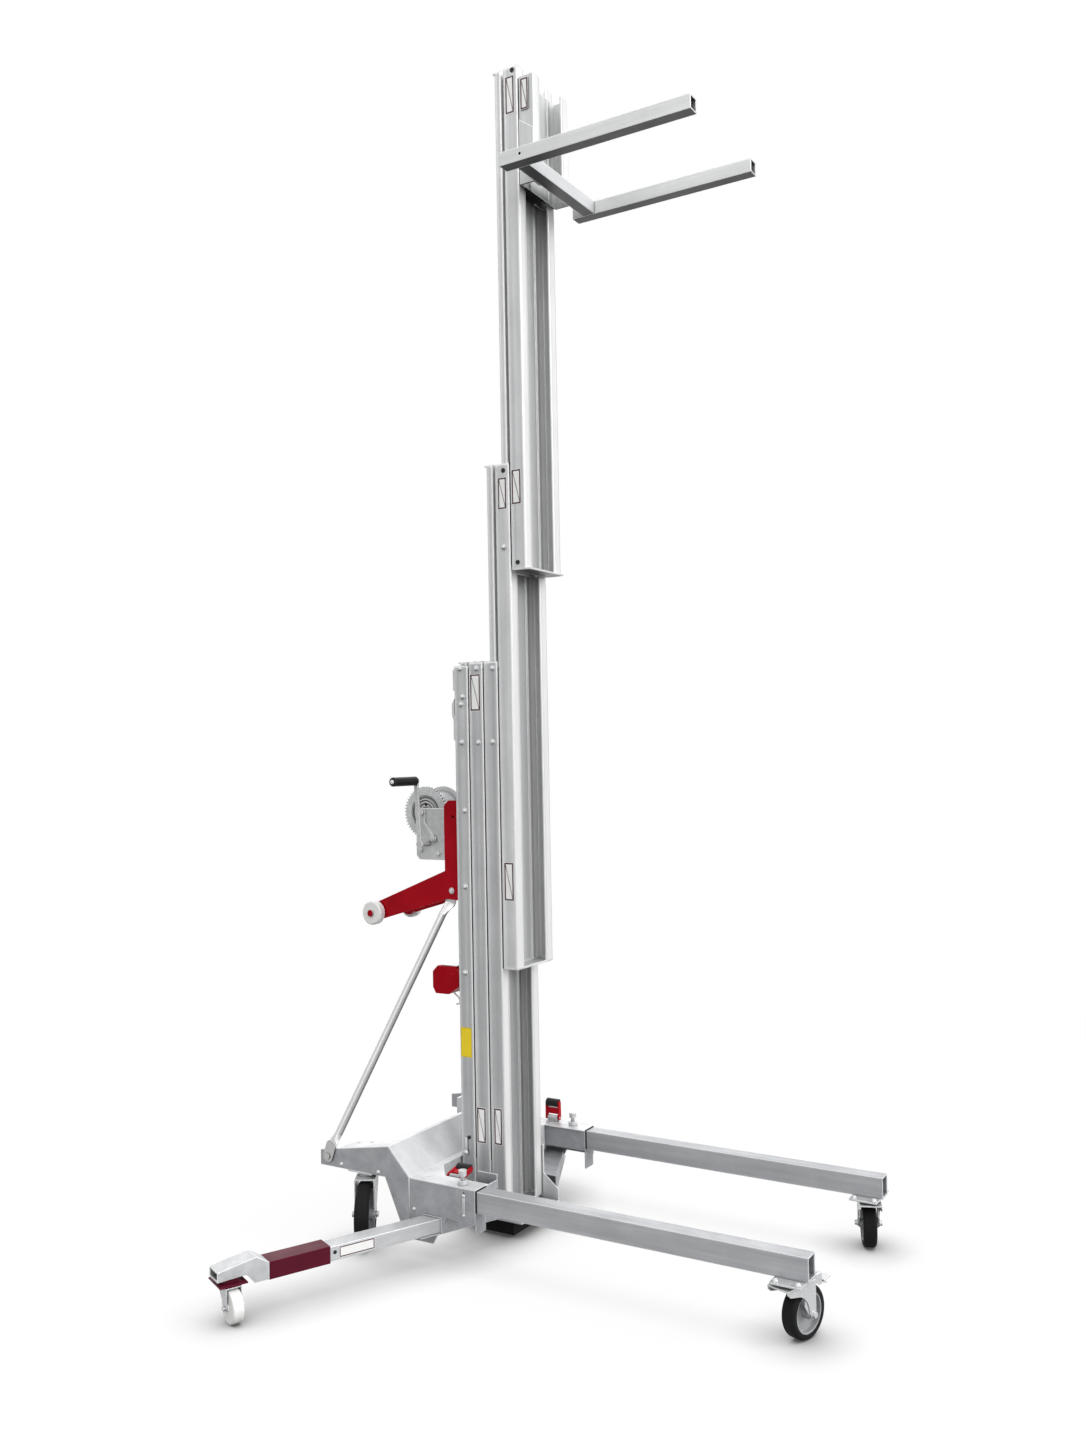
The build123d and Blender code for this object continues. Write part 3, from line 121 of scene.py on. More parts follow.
def painted_shade_places_group():
    """Masks for painted shade: in a piece's own hollows, in the seams where pieces meet, and on undersides.
    """
    group = bpy.data.node_groups.new("painted_shade_places", "ShaderNodeTree")
    for name in ("Reach", "Under From", "Under To"):
        socket(group, name, "INPUT", "NodeSocketFloat")
    for name in ("Hollow", "Seam", "Under"):
        socket(group, name, "OUTPUT", "NodeSocketFloat")
    put = group.nodes.new
    link = group.links.new
    ends = put("NodeGroupInput")
    out = put("NodeGroupOutput")
    seam_reach = 0.010
    for name, alone, wide, tight in (("Hollow", True, 0.9, 0.25), ("Seam", False, 0.8, 0.3)):
        open_sky = put("ShaderNodeAmbientOcclusion")
        open_sky.samples = 8
        open_sky.only_local = alone
        open_sky.inputs["Distance"].default_value = seam_reach
        link(ranged(group, open_sky.outputs["AO"], 0.0, 1.0, wide, tight), out.inputs[name])
        if alone:
            link(ends.outputs["Reach"], open_sky.inputs["Distance"])
    where = put("ShaderNodeTexCoord")
    parts = put("ShaderNodeSeparateXYZ")
    link(where.outputs["Normal"], parts.inputs["Vector"])
    under = put("ShaderNodeMapRange")
    link(parts.outputs["Z"], under.inputs["Value"])
    link(ends.outputs["Under From"], under.inputs["From Min"])
    link(ends.outputs["Under To"], under.inputs["From Max"])
    link(under.outputs["Result"], out.inputs["Under"])
    return group


drawn_lines = drawn_lines_group()
worn_and_lit_edges = worn_and_lit_edges_group()
painted_shade_places = painted_shade_places_group()


def placed_group(tree, group, **values):
    """A shader group put into a material, with its own values."""
    made = tree.nodes.new("ShaderNodeGroup")
    made.node_tree = group
    for name, value in values.items():
        made.inputs[name].default_value = value
    return made


def mix_colours(tree, factor, low, high):
    """A colour mix whose ends are colours or sockets."""
    made = tree.nodes.new("ShaderNodeMix")
    made.data_type = "RGBA"
    for end, value in ((made.inputs[6], low), (made.inputs[7], high)):
        if isinstance(value, bpy.types.NodeSocket):
            tree.links.new(value, end)
        else:
            end.default_value = (*value, 1.0)
    tree.links.new(factor, made.inputs[0])
    return made.outputs[2]


def darkened(tree, mask, most, colour, tone):
    """A colour that goes over to a darker tone, up to the given share, where a mask is 1: painted shade."""
    return mix_colours(tree, ranged(tree, mask, 0.0, most, 0.0, 1.0), colour, tone)


palest = 0.95


def shade(colour, factor):
    """A colour made lighter or darker, and kept below white."""
    return tuple(min(palest, factor * level) for level in colour)


def bumped(tree, height, strength, distance, normal):
    """A fine relief on top of the rounded edges."""
    made = tree.nodes.new("ShaderNodeBump")
    made.inputs["Strength"].default_value = strength
    made.inputs["Distance"].default_value = distance
    tree.links.new(height, made.inputs["Height"])
    tree.links.new(normal, made.inputs["Normal"])
    return made.outputs["Normal"]


def bare_metal(name, dull, bright, stretch, rough=(0.34, 0.5), metallic=0.3, edge=0.004, reach=0.05,
               hollow=0.22, under_span=(-0.4, -0.9)):
    """A bare or plated metal: drawn lines and dull patches, painted shade in hollows, on undersides and in
    seams, and edges worn bright with a painted highlight.
    """
    made, tree, shader = material(name)
    lines = placed_group(tree, drawn_lines, Stretch=stretch)
    edges = placed_group(tree, worn_and_lit_edges, Radius=edge)
    places = placed_group(tree, painted_shade_places, Reach=reach)
    places.inputs["Under From"].default_value, places.inputs["Under To"].default_value = under_span
    patch_tone, under_shade_tone, seam_shade_tone = shade(dull, 0.84), shade(dull, 0.14), shade(dull, 0.10)
    colour = mix_colours(tree, ranged(tree, lines.outputs["Lines"], 0.0, 1.0), dull, bright)
    colour = mix_colours(tree, ranged(tree, lines.outputs["Patches"], 0.0, 0.45), colour, patch_tone)
    # Painted shade: hollows, downward faces and seams go darker.
    colour = darkened(tree, places.outputs["Hollow"], 0.85, colour, shade(dull, hollow))
    colour = darkened(tree, places.outputs["Under"], 0.95, colour, under_shade_tone)
    # The edges are worn, and lifted further as a painted highlight.
    colour = mix_colours(tree, edges.outputs["Edge"], colour, shade(bright, 1.6))
    colour = darkened(tree, places.outputs["Seam"], 0.85, colour, seam_shade_tone)
    tree.links.new(colour, shader.inputs["Base Color"])
    tree.links.new(ranged(tree, lines.outputs["Patches"], *rough), shader.inputs["Roughness"])
    normal = bumped(tree, lines.outputs["Lines"], 0.10, 0.0004, edges.outputs["Normal"])
    tree.links.new(normal, shader.inputs["Normal"])
    shader.inputs["Metallic"].default_value = metallic
    shader.inputs["Specular IOR Level"].default_value = 0.3
    return made


def dress(finish, *names):
    """Gives CAD nodes their finish."""
    for name in names:
        slots = nodes[name].data.materials
        slots.clear()
        slots.append(finish)


# The side plates' alloy is set darker, painted shade for their side faces, and the deck's lighter, painted
# light for its top; the deck's hollows get a deeper painted shade.
side_alloy_shaded = bare_metal("side_alloy_shaded", dull=(0.30, 0.31, 0.325), bright=(0.44, 0.45, 0.47),
                        stretch=(26.0, 40.0, 26.0), rough=(0.36, 0.54))
deck_alloy_lit = bare_metal("deck_alloy_lit", dull=(0.54, 0.55, 0.565), bright=(0.74, 0.75, 0.765),
                        stretch=(9.0, 14.0, 9.0), rough=(0.3, 0.5), reach=0.09, hollow=0.12)
dress(side_alloy_shaded, "side_frame_right", "side_frame_left", "receiver_right", "receiver_left")
dress(deck_alloy_lit, "deck", "mast_well")

# Base fasteners and folds.
# Zinc-plated domed screws and blind rivets through the sheet, and bright zinc strips
# along the folds of each leg socket's outer wall, a painted highlight where the bends catch the light.

metre = 1000
mast_low, mast_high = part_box("mast_a")
mast_rear = mast_low.x
mast_middle = (mast_low.y + mast_high.y) / 2
# The zinc is darkened on every downward face: painted shade under the screws and bolts.
zinc = bare_metal("zinc_plate", dull=(0.50, 0.51, 0.52), bright=(0.66, 0.67, 0.68),
                  stretch=(160.0, 160.0, 160.0), rough=(0.24, 0.38), metallic=0.4, edge=0.002,
                  reach=0.012, under_span=(0.0, -0.6))


def at(x, y, z):
    """A place in millimetres from the mast's foot: forward, to the left, and up."""
    return Vector((mast_rear + x / metre, mast_middle + y / metre, z / metre))


def span(name):
    """The low and high corners of a CAD node, in millimetres from the mast's foot."""
    low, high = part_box(name)
    foot = at(0, 0, 0)
    return (low - foot) * metre, (high - foot) * metre


def turned_to(normal):
    """A turn that takes +Z to a direction."""
    return Vector((0, 0, 1)).rotation_difference(Vector(normal)).to_matrix().to_4x4()


def add_turned(shape, place, normal, profile, steps=24):
    """A turned piece on a face: its profile, in millimetres out and up, starts and ends on the axis."""
    others = set(shape.verts)
    turn = Matrix.Translation(place) @ turned_to(normal)
    verts = [shape.verts.new(turn @ Vector((0, out / metre, up / metre))) for out, up in profile]
    edges = [shape.edges.new(pair) for pair in zip(verts, verts[1:])]
    bmesh.ops.spin(shape, geom=verts + edges, cent=place, axis=Vector(normal).normalized(),
                   angle=2 * pi, steps=steps, use_merge=True)
    made = [vert for vert in shape.verts if vert not in others]
    bmesh.ops.remove_doubles(shape, verts=made, dist=1e-5)


def add_domed_screw(shape, place, normal, radius, height):
    """A domed screw head on a thin washer."""
    washer = 1.3 * radius
    profile = [(0, 0), (washer, 0), (washer, 1.2), (radius, 1.6), (0.98 * radius, 0.45 * height)]
    profile += [(0.84 * radius, 0.72 * height), (0.55 * radius, 0.93 * height), (0, height)]
    add_turned(shape, place, normal, profile)


def add_hex_bolt(shape, place, normal, radius, height):
    """A hexagon bolt head with a chamfered crown, on a washer."""
    washer, washer_top, shoulder = 1.35 * radius, 1.6, height - 1
    add_turned(shape, place, normal, [(0, 0), (washer, 0), (washer, washer_top), (0, washer_top)])
    head = [(0, washer_top), (radius, washer_top), (radius, shoulder), (0.84 * radius, height), (0, height)]
    add_turned(shape, place, normal, head, steps=6)


def add_bar(shape, low, high, edge):
    """A rectangular bar with rounded edges, between two corners in millimetres."""
    corner = at(*low)
    size = at(*high) - corner
    place = Matrix.Translation(corner + size / 2) @ Matrix.Diagonal((*size, 1))
    made = bmesh.ops.create_cube(shape, size=1.0, matrix=place)
    rims = list({rim for vert in made["verts"] for rim in vert.link_edges})
    bmesh.ops.bevel(shape, geom=rims, offset=edge / metre, offset_type="OFFSET", segments=2, profile=0.5,
                    affect="EDGES", material=-1)


def add_bar_pair(shape, along, across, height, edge):
    """Two like bars, one at each side: their spans forward, out from the middle and up."""
    for side in (-1, 1):
        near, far = sorted(side * reach for reach in across)
        add_bar(shape, (along[0], near, height[0]), (along[1], far, height[1]), edge)


def finished(shape, name, finish, body, smooth=True):
    """Turns a bmesh into a piece that rides on a body."""
    bmesh.ops.recalc_face_normals(shape, faces=shape.faces)
    mesh = bpy.data.meshes.new(name)
    shape.to_mesh(mesh)
    shape.free()
    if smooth:
        mesh.shade_smooth()
        mesh.set_sharp_from_angle(angle=radians(32))
    piece = bpy.data.objects.new(name, mesh)
    bpy.context.scene.collection.objects.link(piece)
    for each in finish if isinstance(finish, list) else [finish]:
        mesh.materials.append(each)
    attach(piece, body)


upward = (0, 0, 1)
tail_slope = (-0.172, 0, 0.985)
socket_high = span("side_frame_left")[1]
socket_top = 252.5
side_screws = ((-305, 254, 6), (-148, 251, 6), (195, 230, 5), (195, 168, 5), (-2, 156, 5), (44, 74, 5))
socket_rivets = ((20, 366), (26, 346))
tail_rivets = ((-289, 318.5, 309.4), (-229, 322, 319.8))
shape = bmesh.new()
for side in (-1, 1):
    for x, z, radius in side_screws:
        add_domed_screw(shape, at(x, side * socket_high.y, z), (0, side, 0), radius, height=6)
    for x, y in socket_rivets:
        add_domed_screw(shape, at(x, side * y, socket_top), upward, radius=5, height=3.5)
    for x, y, z in tail_rivets:
        add_domed_screw(shape, at(x, side * y, z), tail_slope, radius=6, height=3.5)
finished(shape, "base_screws", zinc, "base")
# Bright strips on the fold lines: painted highlight.
fold_highlight_across = (socket_high.y, socket_high.y + 1.6)
shape = bmesh.new()
add_bar_pair(shape, along=(-23, -18), across=fold_highlight_across, height=(150, 251), edge=0.7)
add_bar_pair(shape, along=(190, 200), across=fold_highlight_across, height=(168, 230), edge=0.7)
finished(shape, "socket_fold_highlights", zinc, "base")

# Mast foot.
# A black rubber block under the mast well, and the small zinc keeper that latches
# the first section at its foot, held by a screw and a dark pin.


def moulded(name, colour, rough, relief=0.2, edge=0.001, gloss=0.5):
    """A moulded plastic or rubber with a faint orange-peel surface."""
    made, tree, shader = material(name)
    where = tree.nodes.new("ShaderNodeTexCoord")
    peel = tree.nodes.new("ShaderNodeTexNoise")
    peel.inputs["Scale"].default_value = 900.0
    peel.inputs["Detail"].default_value = 3.0
    tree.links.new(where.outputs["Object"], peel.inputs["Vector"])
    lines = placed_group(tree, drawn_lines, Stretch=(60.0, 60.0, 60.0))
    edges = placed_group(tree, worn_and_lit_edges, Radius=edge)
    patches = lines.outputs["Patches"]
    mottled = mix_colours(tree, ranged(tree, patches, 0.0, 0.6), colour, shade(colour, 0.82))
    # The edges go lighter: worn, and a painted highlight.
    worn_lit_edge = tuple(min(palest, 0.03 + 1.15 * level) for level in colour)
    tree.links.new(mix_colours(tree, edges.outputs["Edge"], mottled, worn_lit_edge), shader.inputs["Base Color"])
    tree.links.new(ranged(tree, patches, rough - 0.06, rough + 0.08), shader.inputs["Roughness"])
    normal = bumped(tree, peel.outputs["Fac"], relief, 0.0003, edges.outputs["Normal"])
    tree.links.new(normal, shader.inputs["Normal"])
    shader.inputs["Specular IOR Level"].default_value = gloss
    return made


foot_rubber = moulded("foot_rubber", (0.012, 0.012, 0.012), rough=0.8, gloss=0.1)
dress(foot_rubber, "foot_block")
rightward = (0, -1, 0)
mast_face = span("mast_a")[1].y
keeper_face = mast_face + 6
shape = bmesh.new()
add_bar(shape, (15, -keeper_face, 258), (25, -mast_face, 316), edge=2.0)
add_domed_screw(shape, at(20, -keeper_face, 265), rightward, radius=7, height=6)
finished(shape, "foot_keeper", zinc, "base")
dark_pin = moulded("dark_pin", (0.02, 0.02, 0.022), rough=0.4, gloss=0.2)
shape = bmesh.new()
add_turned(shape, at(31, -mast_face, 317), rightward, [(0, 0), (6, 0), (6, 3), (4, 5), (0, 5)])
finished(shape, "keeper_pin", dark_pin, "base")

# Legs.
# Two square aluminium tubes, drawn, that slide into the leg sockets and carry the
# front casters at their ends; a thin black frame around each at the socket's mouth is
# painted shade for the gap there.

tube_alloy = bare_metal("tube_alloy", dull=(0.34, 0.35, 0.365), bright=(0.48, 0.49, 0.505),
                        stretch=(2.0, 45.0, 45.0), edge=0.005)
dress(tube_alloy, "leg_right", "leg_left")
leg_low, leg_high = span("leg_left")
# A black frame standing proud around each leg: painted shade for the gap at the socket's mouth.
gap_shade_wall = 2.5
gap_shade_along = (socket_high.x, socket_high.x + 4)
gap_shade_top = leg_high.z + gap_shade_wall
gap_shade_walls = (
    ((leg_high.y, leg_high.y + gap_shade_wall), (leg_low.z, gap_shade_top)),
    ((leg_low.y - gap_shade_wall, leg_low.y), (leg_low.z, gap_shade_top)),
    ((leg_low.y, leg_high.y), (leg_high.z, gap_shade_top)),
)
shape = bmesh.new()
for across, height in gap_shade_walls:
    add_bar_pair(shape, gap_shade_along, across, height, edge=0.8)
finished(shape, "leg_gap_shade", foot_rubber, "base")

# Leg locks.
# Red painted levers with round black grips, and zinc clamping screws that pass
# through the deck onto the legs.


def paint(name, colour, pale=1.5):
    """Brushed-on gloss paint, deeper in patches, and lighter on the edges, where it is worn and has a
    painted highlight.
    """
    made, tree, shader = material(name)
    lines = placed_group(tree, drawn_lines, Stretch=(70.0, 70.0, 70.0))
    edges = placed_group(tree, worn_and_lit_edges, Radius=0.0018)
    patches = lines.outputs["Patches"]
    mottled = mix_colours(tree, ranged(tree, patches, 0.0, 1.0), colour, shade(colour, 0.7))
    edge_wear_and_highlight = ranged(tree, edges.outputs["Edge"], 0.0, 0.7, 0.0, 1.0)
    tree.links.new(mix_colours(tree, edge_wear_and_highlight, mottled, shade(colour, pale)), shader.inputs["Base Color"])
    tree.links.new(ranged(tree, patches, 0.32, 0.48), shader.inputs["Roughness"])
    normal = bumped(tree, lines.outputs["Lines"], 0.08, 0.0004, edges.outputs["Normal"])
    tree.links.new(normal, shader.inputs["Normal"])
    shader.inputs["Specular IOR Level"].default_value = 0.07
    return made


red_paint = paint("red_paint", (0.40, 0.004, 0.012))
black_grip = moulded("black_grip", (0.010, 0.010, 0.011), rough=0.4, gloss=0.2)
dress(red_paint, "lever_right", "lever_left")
dress(black_grip, "lever_grip_right", "lever_grip_left")
dress(zinc, "lock_screw_right", "lock_screw_left")

# Casters.
# Pressed and plated forks under bolted top plates, grey wheel centres, black rubber
# tyres, a zinc brake pedal on the front right one and a bent hood over each front fork.

wheel_grey = moulded("wheel_grey", (0.34, 0.35, 0.36), rough=0.42, edge=0.003)
tyre_rubber = moulded("tyre_rubber", (0.012, 0.012, 0.013), rough=0.6, relief=0.3, gloss=0.08)
dress(zinc, "caster_plates", "brake_pedal")
for corner in ("front_right", "front_left", "rear_right", "rear_left"):
    dress(zinc, f"{corner}_fork")
    dress(wheel_grey, f"{corner}_rim")
    dress(tyre_rubber, f"{corner}_tyre")
leg_line = (leg_low.y + leg_high.y) / 2
front_kingpin = 1274
plate_top = leg_low.z
bolt_along, bolt_across = 32, 55
shape = bmesh.new()
for side in (-1, 1):
    for along in (-bolt_along, bolt_along):
        for across in (-bolt_across, bolt_across):
            place = at(front_kingpin + along, side * leg_line + across, plate_top)
            add_domed_screw(shape, place, upward, radius=8.5, height=9)
finished(shape, "front_caster_bolts", zinc, "base")


def thickened(shape, faces, step):
    """Draws faces out by a step, as a sheet's thickness, and gives back what was made."""
    made = bmesh.ops.extrude_face_region(shape, geom=faces)["geom"]
    verts = [part for part in made if isinstance(part, bmesh.types.BMVert)]
    bmesh.ops.translate(shape, verts=verts, vec=step)
    return made


fork_face = 32
hood_sheet = 2.5
hood_corners = ((-72, 168), (54, 168), (54, 75), (40, 61), (26, 75), (20, 130), (-60, 148), (-72, 158))
foot_round, neck_round = 8, 40
bridge_size = Vector((45, 2 * fork_face, 4)) / metre
bridge_middle = Vector((-49.5, 0, 166)) / metre
bridge_place = Matrix.Translation(bridge_middle) @ Matrix.Diagonal((*bridge_size, 1))
axle_along, axle_high = 40, 75
for corner, side, heading in (("front_right", -1, 73), ("front_left", 1, 112)):
    kingpin = Matrix.Translation(at(front_kingpin, side * leg_line, 0))
    turn = kingpin @ Matrix.Rotation(radians(heading), 4, "Z")
    shape = bmesh.new()
    for face in (-1, 1):
        inner = face * fork_face / metre
        rim = [shape.verts.new((along / metre, inner, high / metre)) for along, high in hood_corners]
        shape.faces.new(rim)
        for sharp, offset in ((rim[2:5], foot_round), (rim[5:6], neck_round)):
            bmesh.ops.bevel(shape, geom=sharp, offset=offset / metre, offset_type="OFFSET", segments=6,
                            profile=0.5, affect="VERTICES", material=-1)
        flat = [each for each in shape.faces if abs(each.calc_center_median().y - inner) < 1e-6]
        thickened(shape, flat, (0, face * hood_sheet / metre, 0))
    bmesh.ops.create_cube(shape, size=1.0, matrix=bridge_place)
    bmesh.ops.transform(shape, matrix=turn, verts=shape.verts)
    finished(shape, f"{corner}_hood", zinc, f"{corner}_swivel")
    shape = bmesh.new()
    for face in (-1, 1):
        place = turn @ (Vector((axle_along, face * (fork_face + hood_sheet), axle_high)) / metre)
        add_domed_screw(shape, place, turn.to_3x3() @ Vector((0, face, 0)), radius=9, height=9.5)
    finished(shape, f"{corner}_axle_nuts", zinc, f"{corner}_swivel")

# Outrigger.
# A square tube drawn out of the right receiver, with a maroon painted sleeve, a folded
# end channel, a maroon caster plate, a white nylon wheel and a blank printed plate.


def printed(name, colour):
    """A printed vinyl face with faint smudges."""
    made, tree, shader = material(name)
    lines = placed_group(tree, drawn_lines, Stretch=(90.0, 90.0, 90.0))
    smudge = mix_colours(tree, ranged(tree, lines.outputs["Patches"], 0.0, 0.7), colour, shade(colour, 0.9))
    tree.links.new(smudge, shader.inputs["Base Color"])
    tree.links.new(ranged(tree, lines.outputs["Lines"], 0.30, 0.45), shader.inputs["Roughness"])
    return made


plate_white = printed("plate_white", (0.90, 0.90, 0.89))
plate_border = printed("plate_border", (0.045, 0.004, 0.011))


def add_plate(shape, centre, across, width, height, rim=1.5, border=5.0):
    """A thin upright plate with rounded corners: a pale rim, a border line and a plain face."""
    thick, corner = 0.3, 4.0
    normal = Vector(across).cross(Vector(upward))
    turn = Matrix((Vector(across), Vector(upward), normal)).transposed().to_4x4()
    place = Matrix.Translation(centre) @ turn @ Matrix.Diagonal((width / metre, height / metre, 1, 1))
    bmesh.ops.create_grid(shape, x_segments=1, y_segments=1, size=0.5, matrix=place)
    bmesh.ops.bevel(shape, geom=shape.verts[:], offset=corner / metre, offset_type="OFFSET", segments=4,
                    profile=0.5, affect="VERTICES", material=-1)
    raised = thickened(shape, shape.faces[:], normal * thick / metre)
    face = [part for part in raised if isinstance(part, bmesh.types.BMFace)]
    bmesh.ops.inset_region(shape, faces=face, thickness=rim / metre)
    for each in bmesh.ops.inset_region(shape, faces=face, thickness=border / metre)["faces"]:
        each.material_index = 1


# The maroon's edges are lifted further: a stronger painted highlight.
maroon_paint = paint("maroon_paint", (0.105, 0.010, 0.024), pale=2.2)
white_nylon = moulded("white_nylon", (0.86, 0.86, 0.84), rough=0.4)
end_alloy = bare_metal("end_alloy", dull=(0.44, 0.45, 0.46), bright=(0.60, 0.61, 0.62),
                       stretch=(30.0, 30.0, 30.0))
arm_alloy = bare_metal("arm_alloy", dull=(0.48, 0.49, 0.50), bright=(0.62, 0.63, 0.64),
                       stretch=(24.0, 12.0, 60.0))
dress(arm_alloy, "outrigger_arm")
dress(maroon_paint, "outrigger_sleeve", "outrigger_plate")
dress(end_alloy, "outrigger_end")
dress(zinc, "outrigger_fork")
dress(white_nylon, "outrigger_wheel")
arm_lean = radians(25)
arm_out = Vector((-sin(arm_lean), -cos(arm_lean), 0))
arm_side = Vector((cos(arm_lean), -sin(arm_lean), 0))
arm_mouth = at(54, -429, 121)


def on_arm(out, up):
    """A place on the arm's forward side, in millimetres out from its receiver's mouth and up."""
    half_width = 30
    along_arm = arm_mouth + arm_out * (out / metre)
    return along_arm + arm_side * (half_width / metre) + Vector((0, 0, up / metre))


shape = bmesh.new()
add_plate(shape, on_arm(239, 0), -arm_out, width=121, height=35, border=3.5)
finished(shape, "outrigger_label", [plate_white, plate_border], "outrigger", smooth=False)
# A dark disc on the arm: painted shade standing for the inside of the pin hole.
shape = bmesh.new()
add_turned(shape, on_arm(313, 3), arm_side, [(0, 0), (6, 0), (6, 0.3), (0, 0.3)])
finished(shape, "outrigger_pin_hole_shade", dark_pin, "outrigger")

# Mast sections.
# Nested aluminium extrusions, mill finished, with die lines along their length; the
# front lips, which slide on each other, carry a painted highlight on their forward faces.


def lit_front_lips_group():
    """A mask for the forward-facing lips at both sides of a section, where a painted highlight goes."""
    group = bpy.data.node_groups.new("lit_front_lips", "ShaderNodeTree")
    socket(group, "Middle", "INPUT", "NodeSocketFloat")
    socket(group, "Lip", "OUTPUT", "NodeSocketFloat")
    put = group.nodes.new
    link = group.links.new
    ends = put("NodeGroupInput")
    out = put("NodeGroupOutput")
    where = put("ShaderNodeTexCoord")
    place = put("ShaderNodeSeparateXYZ")
    link(where.outputs["Object"], place.inputs["Vector"])
    facing = put("ShaderNodeSeparateXYZ")
    link(where.outputs["Normal"], facing.inputs["Vector"])
    offset = put("ShaderNodeMath")
    offset.operation = "SUBTRACT"
    link(place.outputs["Y"], offset.inputs[0])
    link(ends.outputs["Middle"], offset.inputs[1])
    aside = put("ShaderNodeMath")
    aside.operation = "ABSOLUTE"
    link(offset.outputs["Value"], aside.inputs[0])
    both = put("ShaderNodeMath")
    both.operation = "MULTIPLY"
    lip_start, lip_full = 0.078, 0.086
    link(ranged(group, aside.outputs["Value"], 0.0, 1.0, lip_start, lip_full), both.inputs[0])
    link(ranged(group, facing.outputs["X"], 0.0, 1.0, 0.5, 0.9), both.inputs[1])
    link(both.outputs["Value"], out.inputs["Lip"])
    return group


lit_front_lips = lit_front_lips_group()


def mast_metal(name, dull, bright, edge=0.012):
    """The section alloy, with a painted highlight on its forward-facing front lips."""
    made = bare_metal(name, dull, bright, stretch=(45.0, 45.0, 0.5), rough=(0.32, 0.46), metallic=0.42,
                      edge=edge, reach=0.07, hollow=0.92)
    tree = made.node_tree
    base = tree.nodes["Principled BSDF"].inputs["Base Color"]
    lips = placed_group(tree, lit_front_lips, Middle=mast_middle)
    # A light colour on the forward-facing lips: painted highlight.
    lip_highlight = (0.74, 0.74, 0.735)
    tree.links.new(mix_colours(tree, lips.outputs["Lip"], base.links[0].from_socket, lip_highlight), base)
    return made


# One alloy in two copies: darker on the three low sections, painted shade, and lighter on the two high ones,
# painted light.
mast_alloy_shaded_low = mast_metal("mast_alloy_shaded_low", dull=(0.36, 0.365, 0.37), bright=(0.58, 0.585, 0.59))
mast_alloy_lit_high = mast_metal("mast_alloy_lit_high", dull=(0.46, 0.465, 0.47), bright=(0.68, 0.685, 0.69))
dress(mast_alloy_shaded_low, "mast_a", "mast_b", "mast_c")
dress(mast_alloy_lit_high, "mast_d", "mast_e")

# Slide guides.
# White low-friction plastic blocks clipped into the top of each section, and black
# slide strips on the front lips, where the next section runs past.

guide_plastic = moulded("guide_plastic", (0.82, 0.82, 0.80), rough=0.5)
dress(guide_plastic, "guides_a", "guides_b", "guides_c", "guides_d", "guides_e")
first_front = span("mast_a")[1].x
section_step = span("mast_b")[1].x - first_front
strip_thick = 4.6
strip_heights = {"base": (250, 1928), "stage_b": (252, 1928), "stage_c": (906, 1928),
                 "stage_d": (2270, 2622), "stage_e": (3557, 3920)}
for order, (body, height) in enumerate(strip_heights.items()):
    front = first_front + order * section_step
    shape = bmesh.new()
    add_bar_pair(shape, along=(front, front + strip_thick), across=(108, 114.2), height=height, edge=0.6)
    finished(shape, f"{body}_slide_strips", foot_rubber, body)

# Mast fasteners.
# Domed zinc-plated screws through the side walls of the sections, where the guides
# and stops are fixed, and dark socket screws on the upper sections.

mast_bodies = {"mast_a": "base", "mast_b": "stage_b", "mast_c": "stage_c", "mast_d": "stage_d",
               "mast_e": "stage_e"}
screw_places = {
    "mast_a": ((25, 1930), (34, 1832), (27, 1806), (28, 1674), (35, 1438), (32, 1176), (26, 880)),
    "mast_b": ((93, 1927), (97, 1672)),
    "mast_c": ((160, 1925), (155, 1673)),
    "mast_d": ((214, 2334),),
}
for section, places in screw_places.items():
    shape = bmesh.new()
    for x, z in places:
        for side in (-1, 1):
            add_domed_screw(shape, at(x, side * mast_face, z), (0, side, 0), radius=8.5, height=9)
    finished(shape, f"{section}_screws", zinc, mast_bodies[section])
socket_screw = [(0, 0), (8, 0), (8, 1.5), (5, 2.5), (4, 1), (0, 1)]
for section, x, z in (("mast_d", 217, 2596), ("mast_e", 269, 2278), ("mast_e", 281, 3956.5)):
    shape = bmesh.new()
    for side in (-1, 1):
        add_turned(shape, at(x, side * mast_face, z), (0, side, 0), socket_screw)
    finished(shape, f"{section}_socket_screws_{z:.0f}", dark_pin, mast_bodies[section])

# Mast plates.
# Blank printed plates stuck to the section walls: white with a maroon border, and
# one plain yellow plate low on the fixed section.

forward = (1, 0, 0)
carriage_low, carriage_high = span("carriage")
plate_places = (
    ("mast_b_plate_high", "stage_b", 65, 108, 1781, 1909),
    ("mast_b_plate_low", "stage_b", 63, 101, 304, 425),
    ("mast_c_plate_low", "stage_c", 133, 167, 307, 431),
    ("mast_d_plate_high", "stage_d", 193, 229, 2464, 2573),
    ("mast_d_plate_low", "stage_d", 192, 231, 1135, 1265),
    ("mast_e_plate_low", "stage_e", 249, 287, 2475, 2594),
    ("mast_e_plate_high", "stage_e", 252, 288, 3809, 3938),
    ("carriage_plate", "load_carriage", 314, 346, 3806, 3914),
)
for name, body, rear, front, low, high in plate_places:
    face = carriage_high.y if body == "load_carriage" else mast_face
    centre = at((rear + front) / 2, -face, (low + high) / 2)
    shape = bmesh.new()
    add_plate(shape, centre, forward, width=front - rear, height=high - low)
    finished(shape, name, [plate_white, plate_border], body, smooth=False)
plate_yellow = printed("plate_yellow", (0.86, 0.64, 0.012))
yellow_edge = printed("yellow_edge", (0.10, 0.08, 0.01))
shape = bmesh.new()
add_plate(shape, at(25, -mast_face, 641), forward, width=45, height=102, rim=1.2, border=0.8)
finished(shape, "yellow_plate", [plate_yellow, yellow_edge], "base", smooth=False)

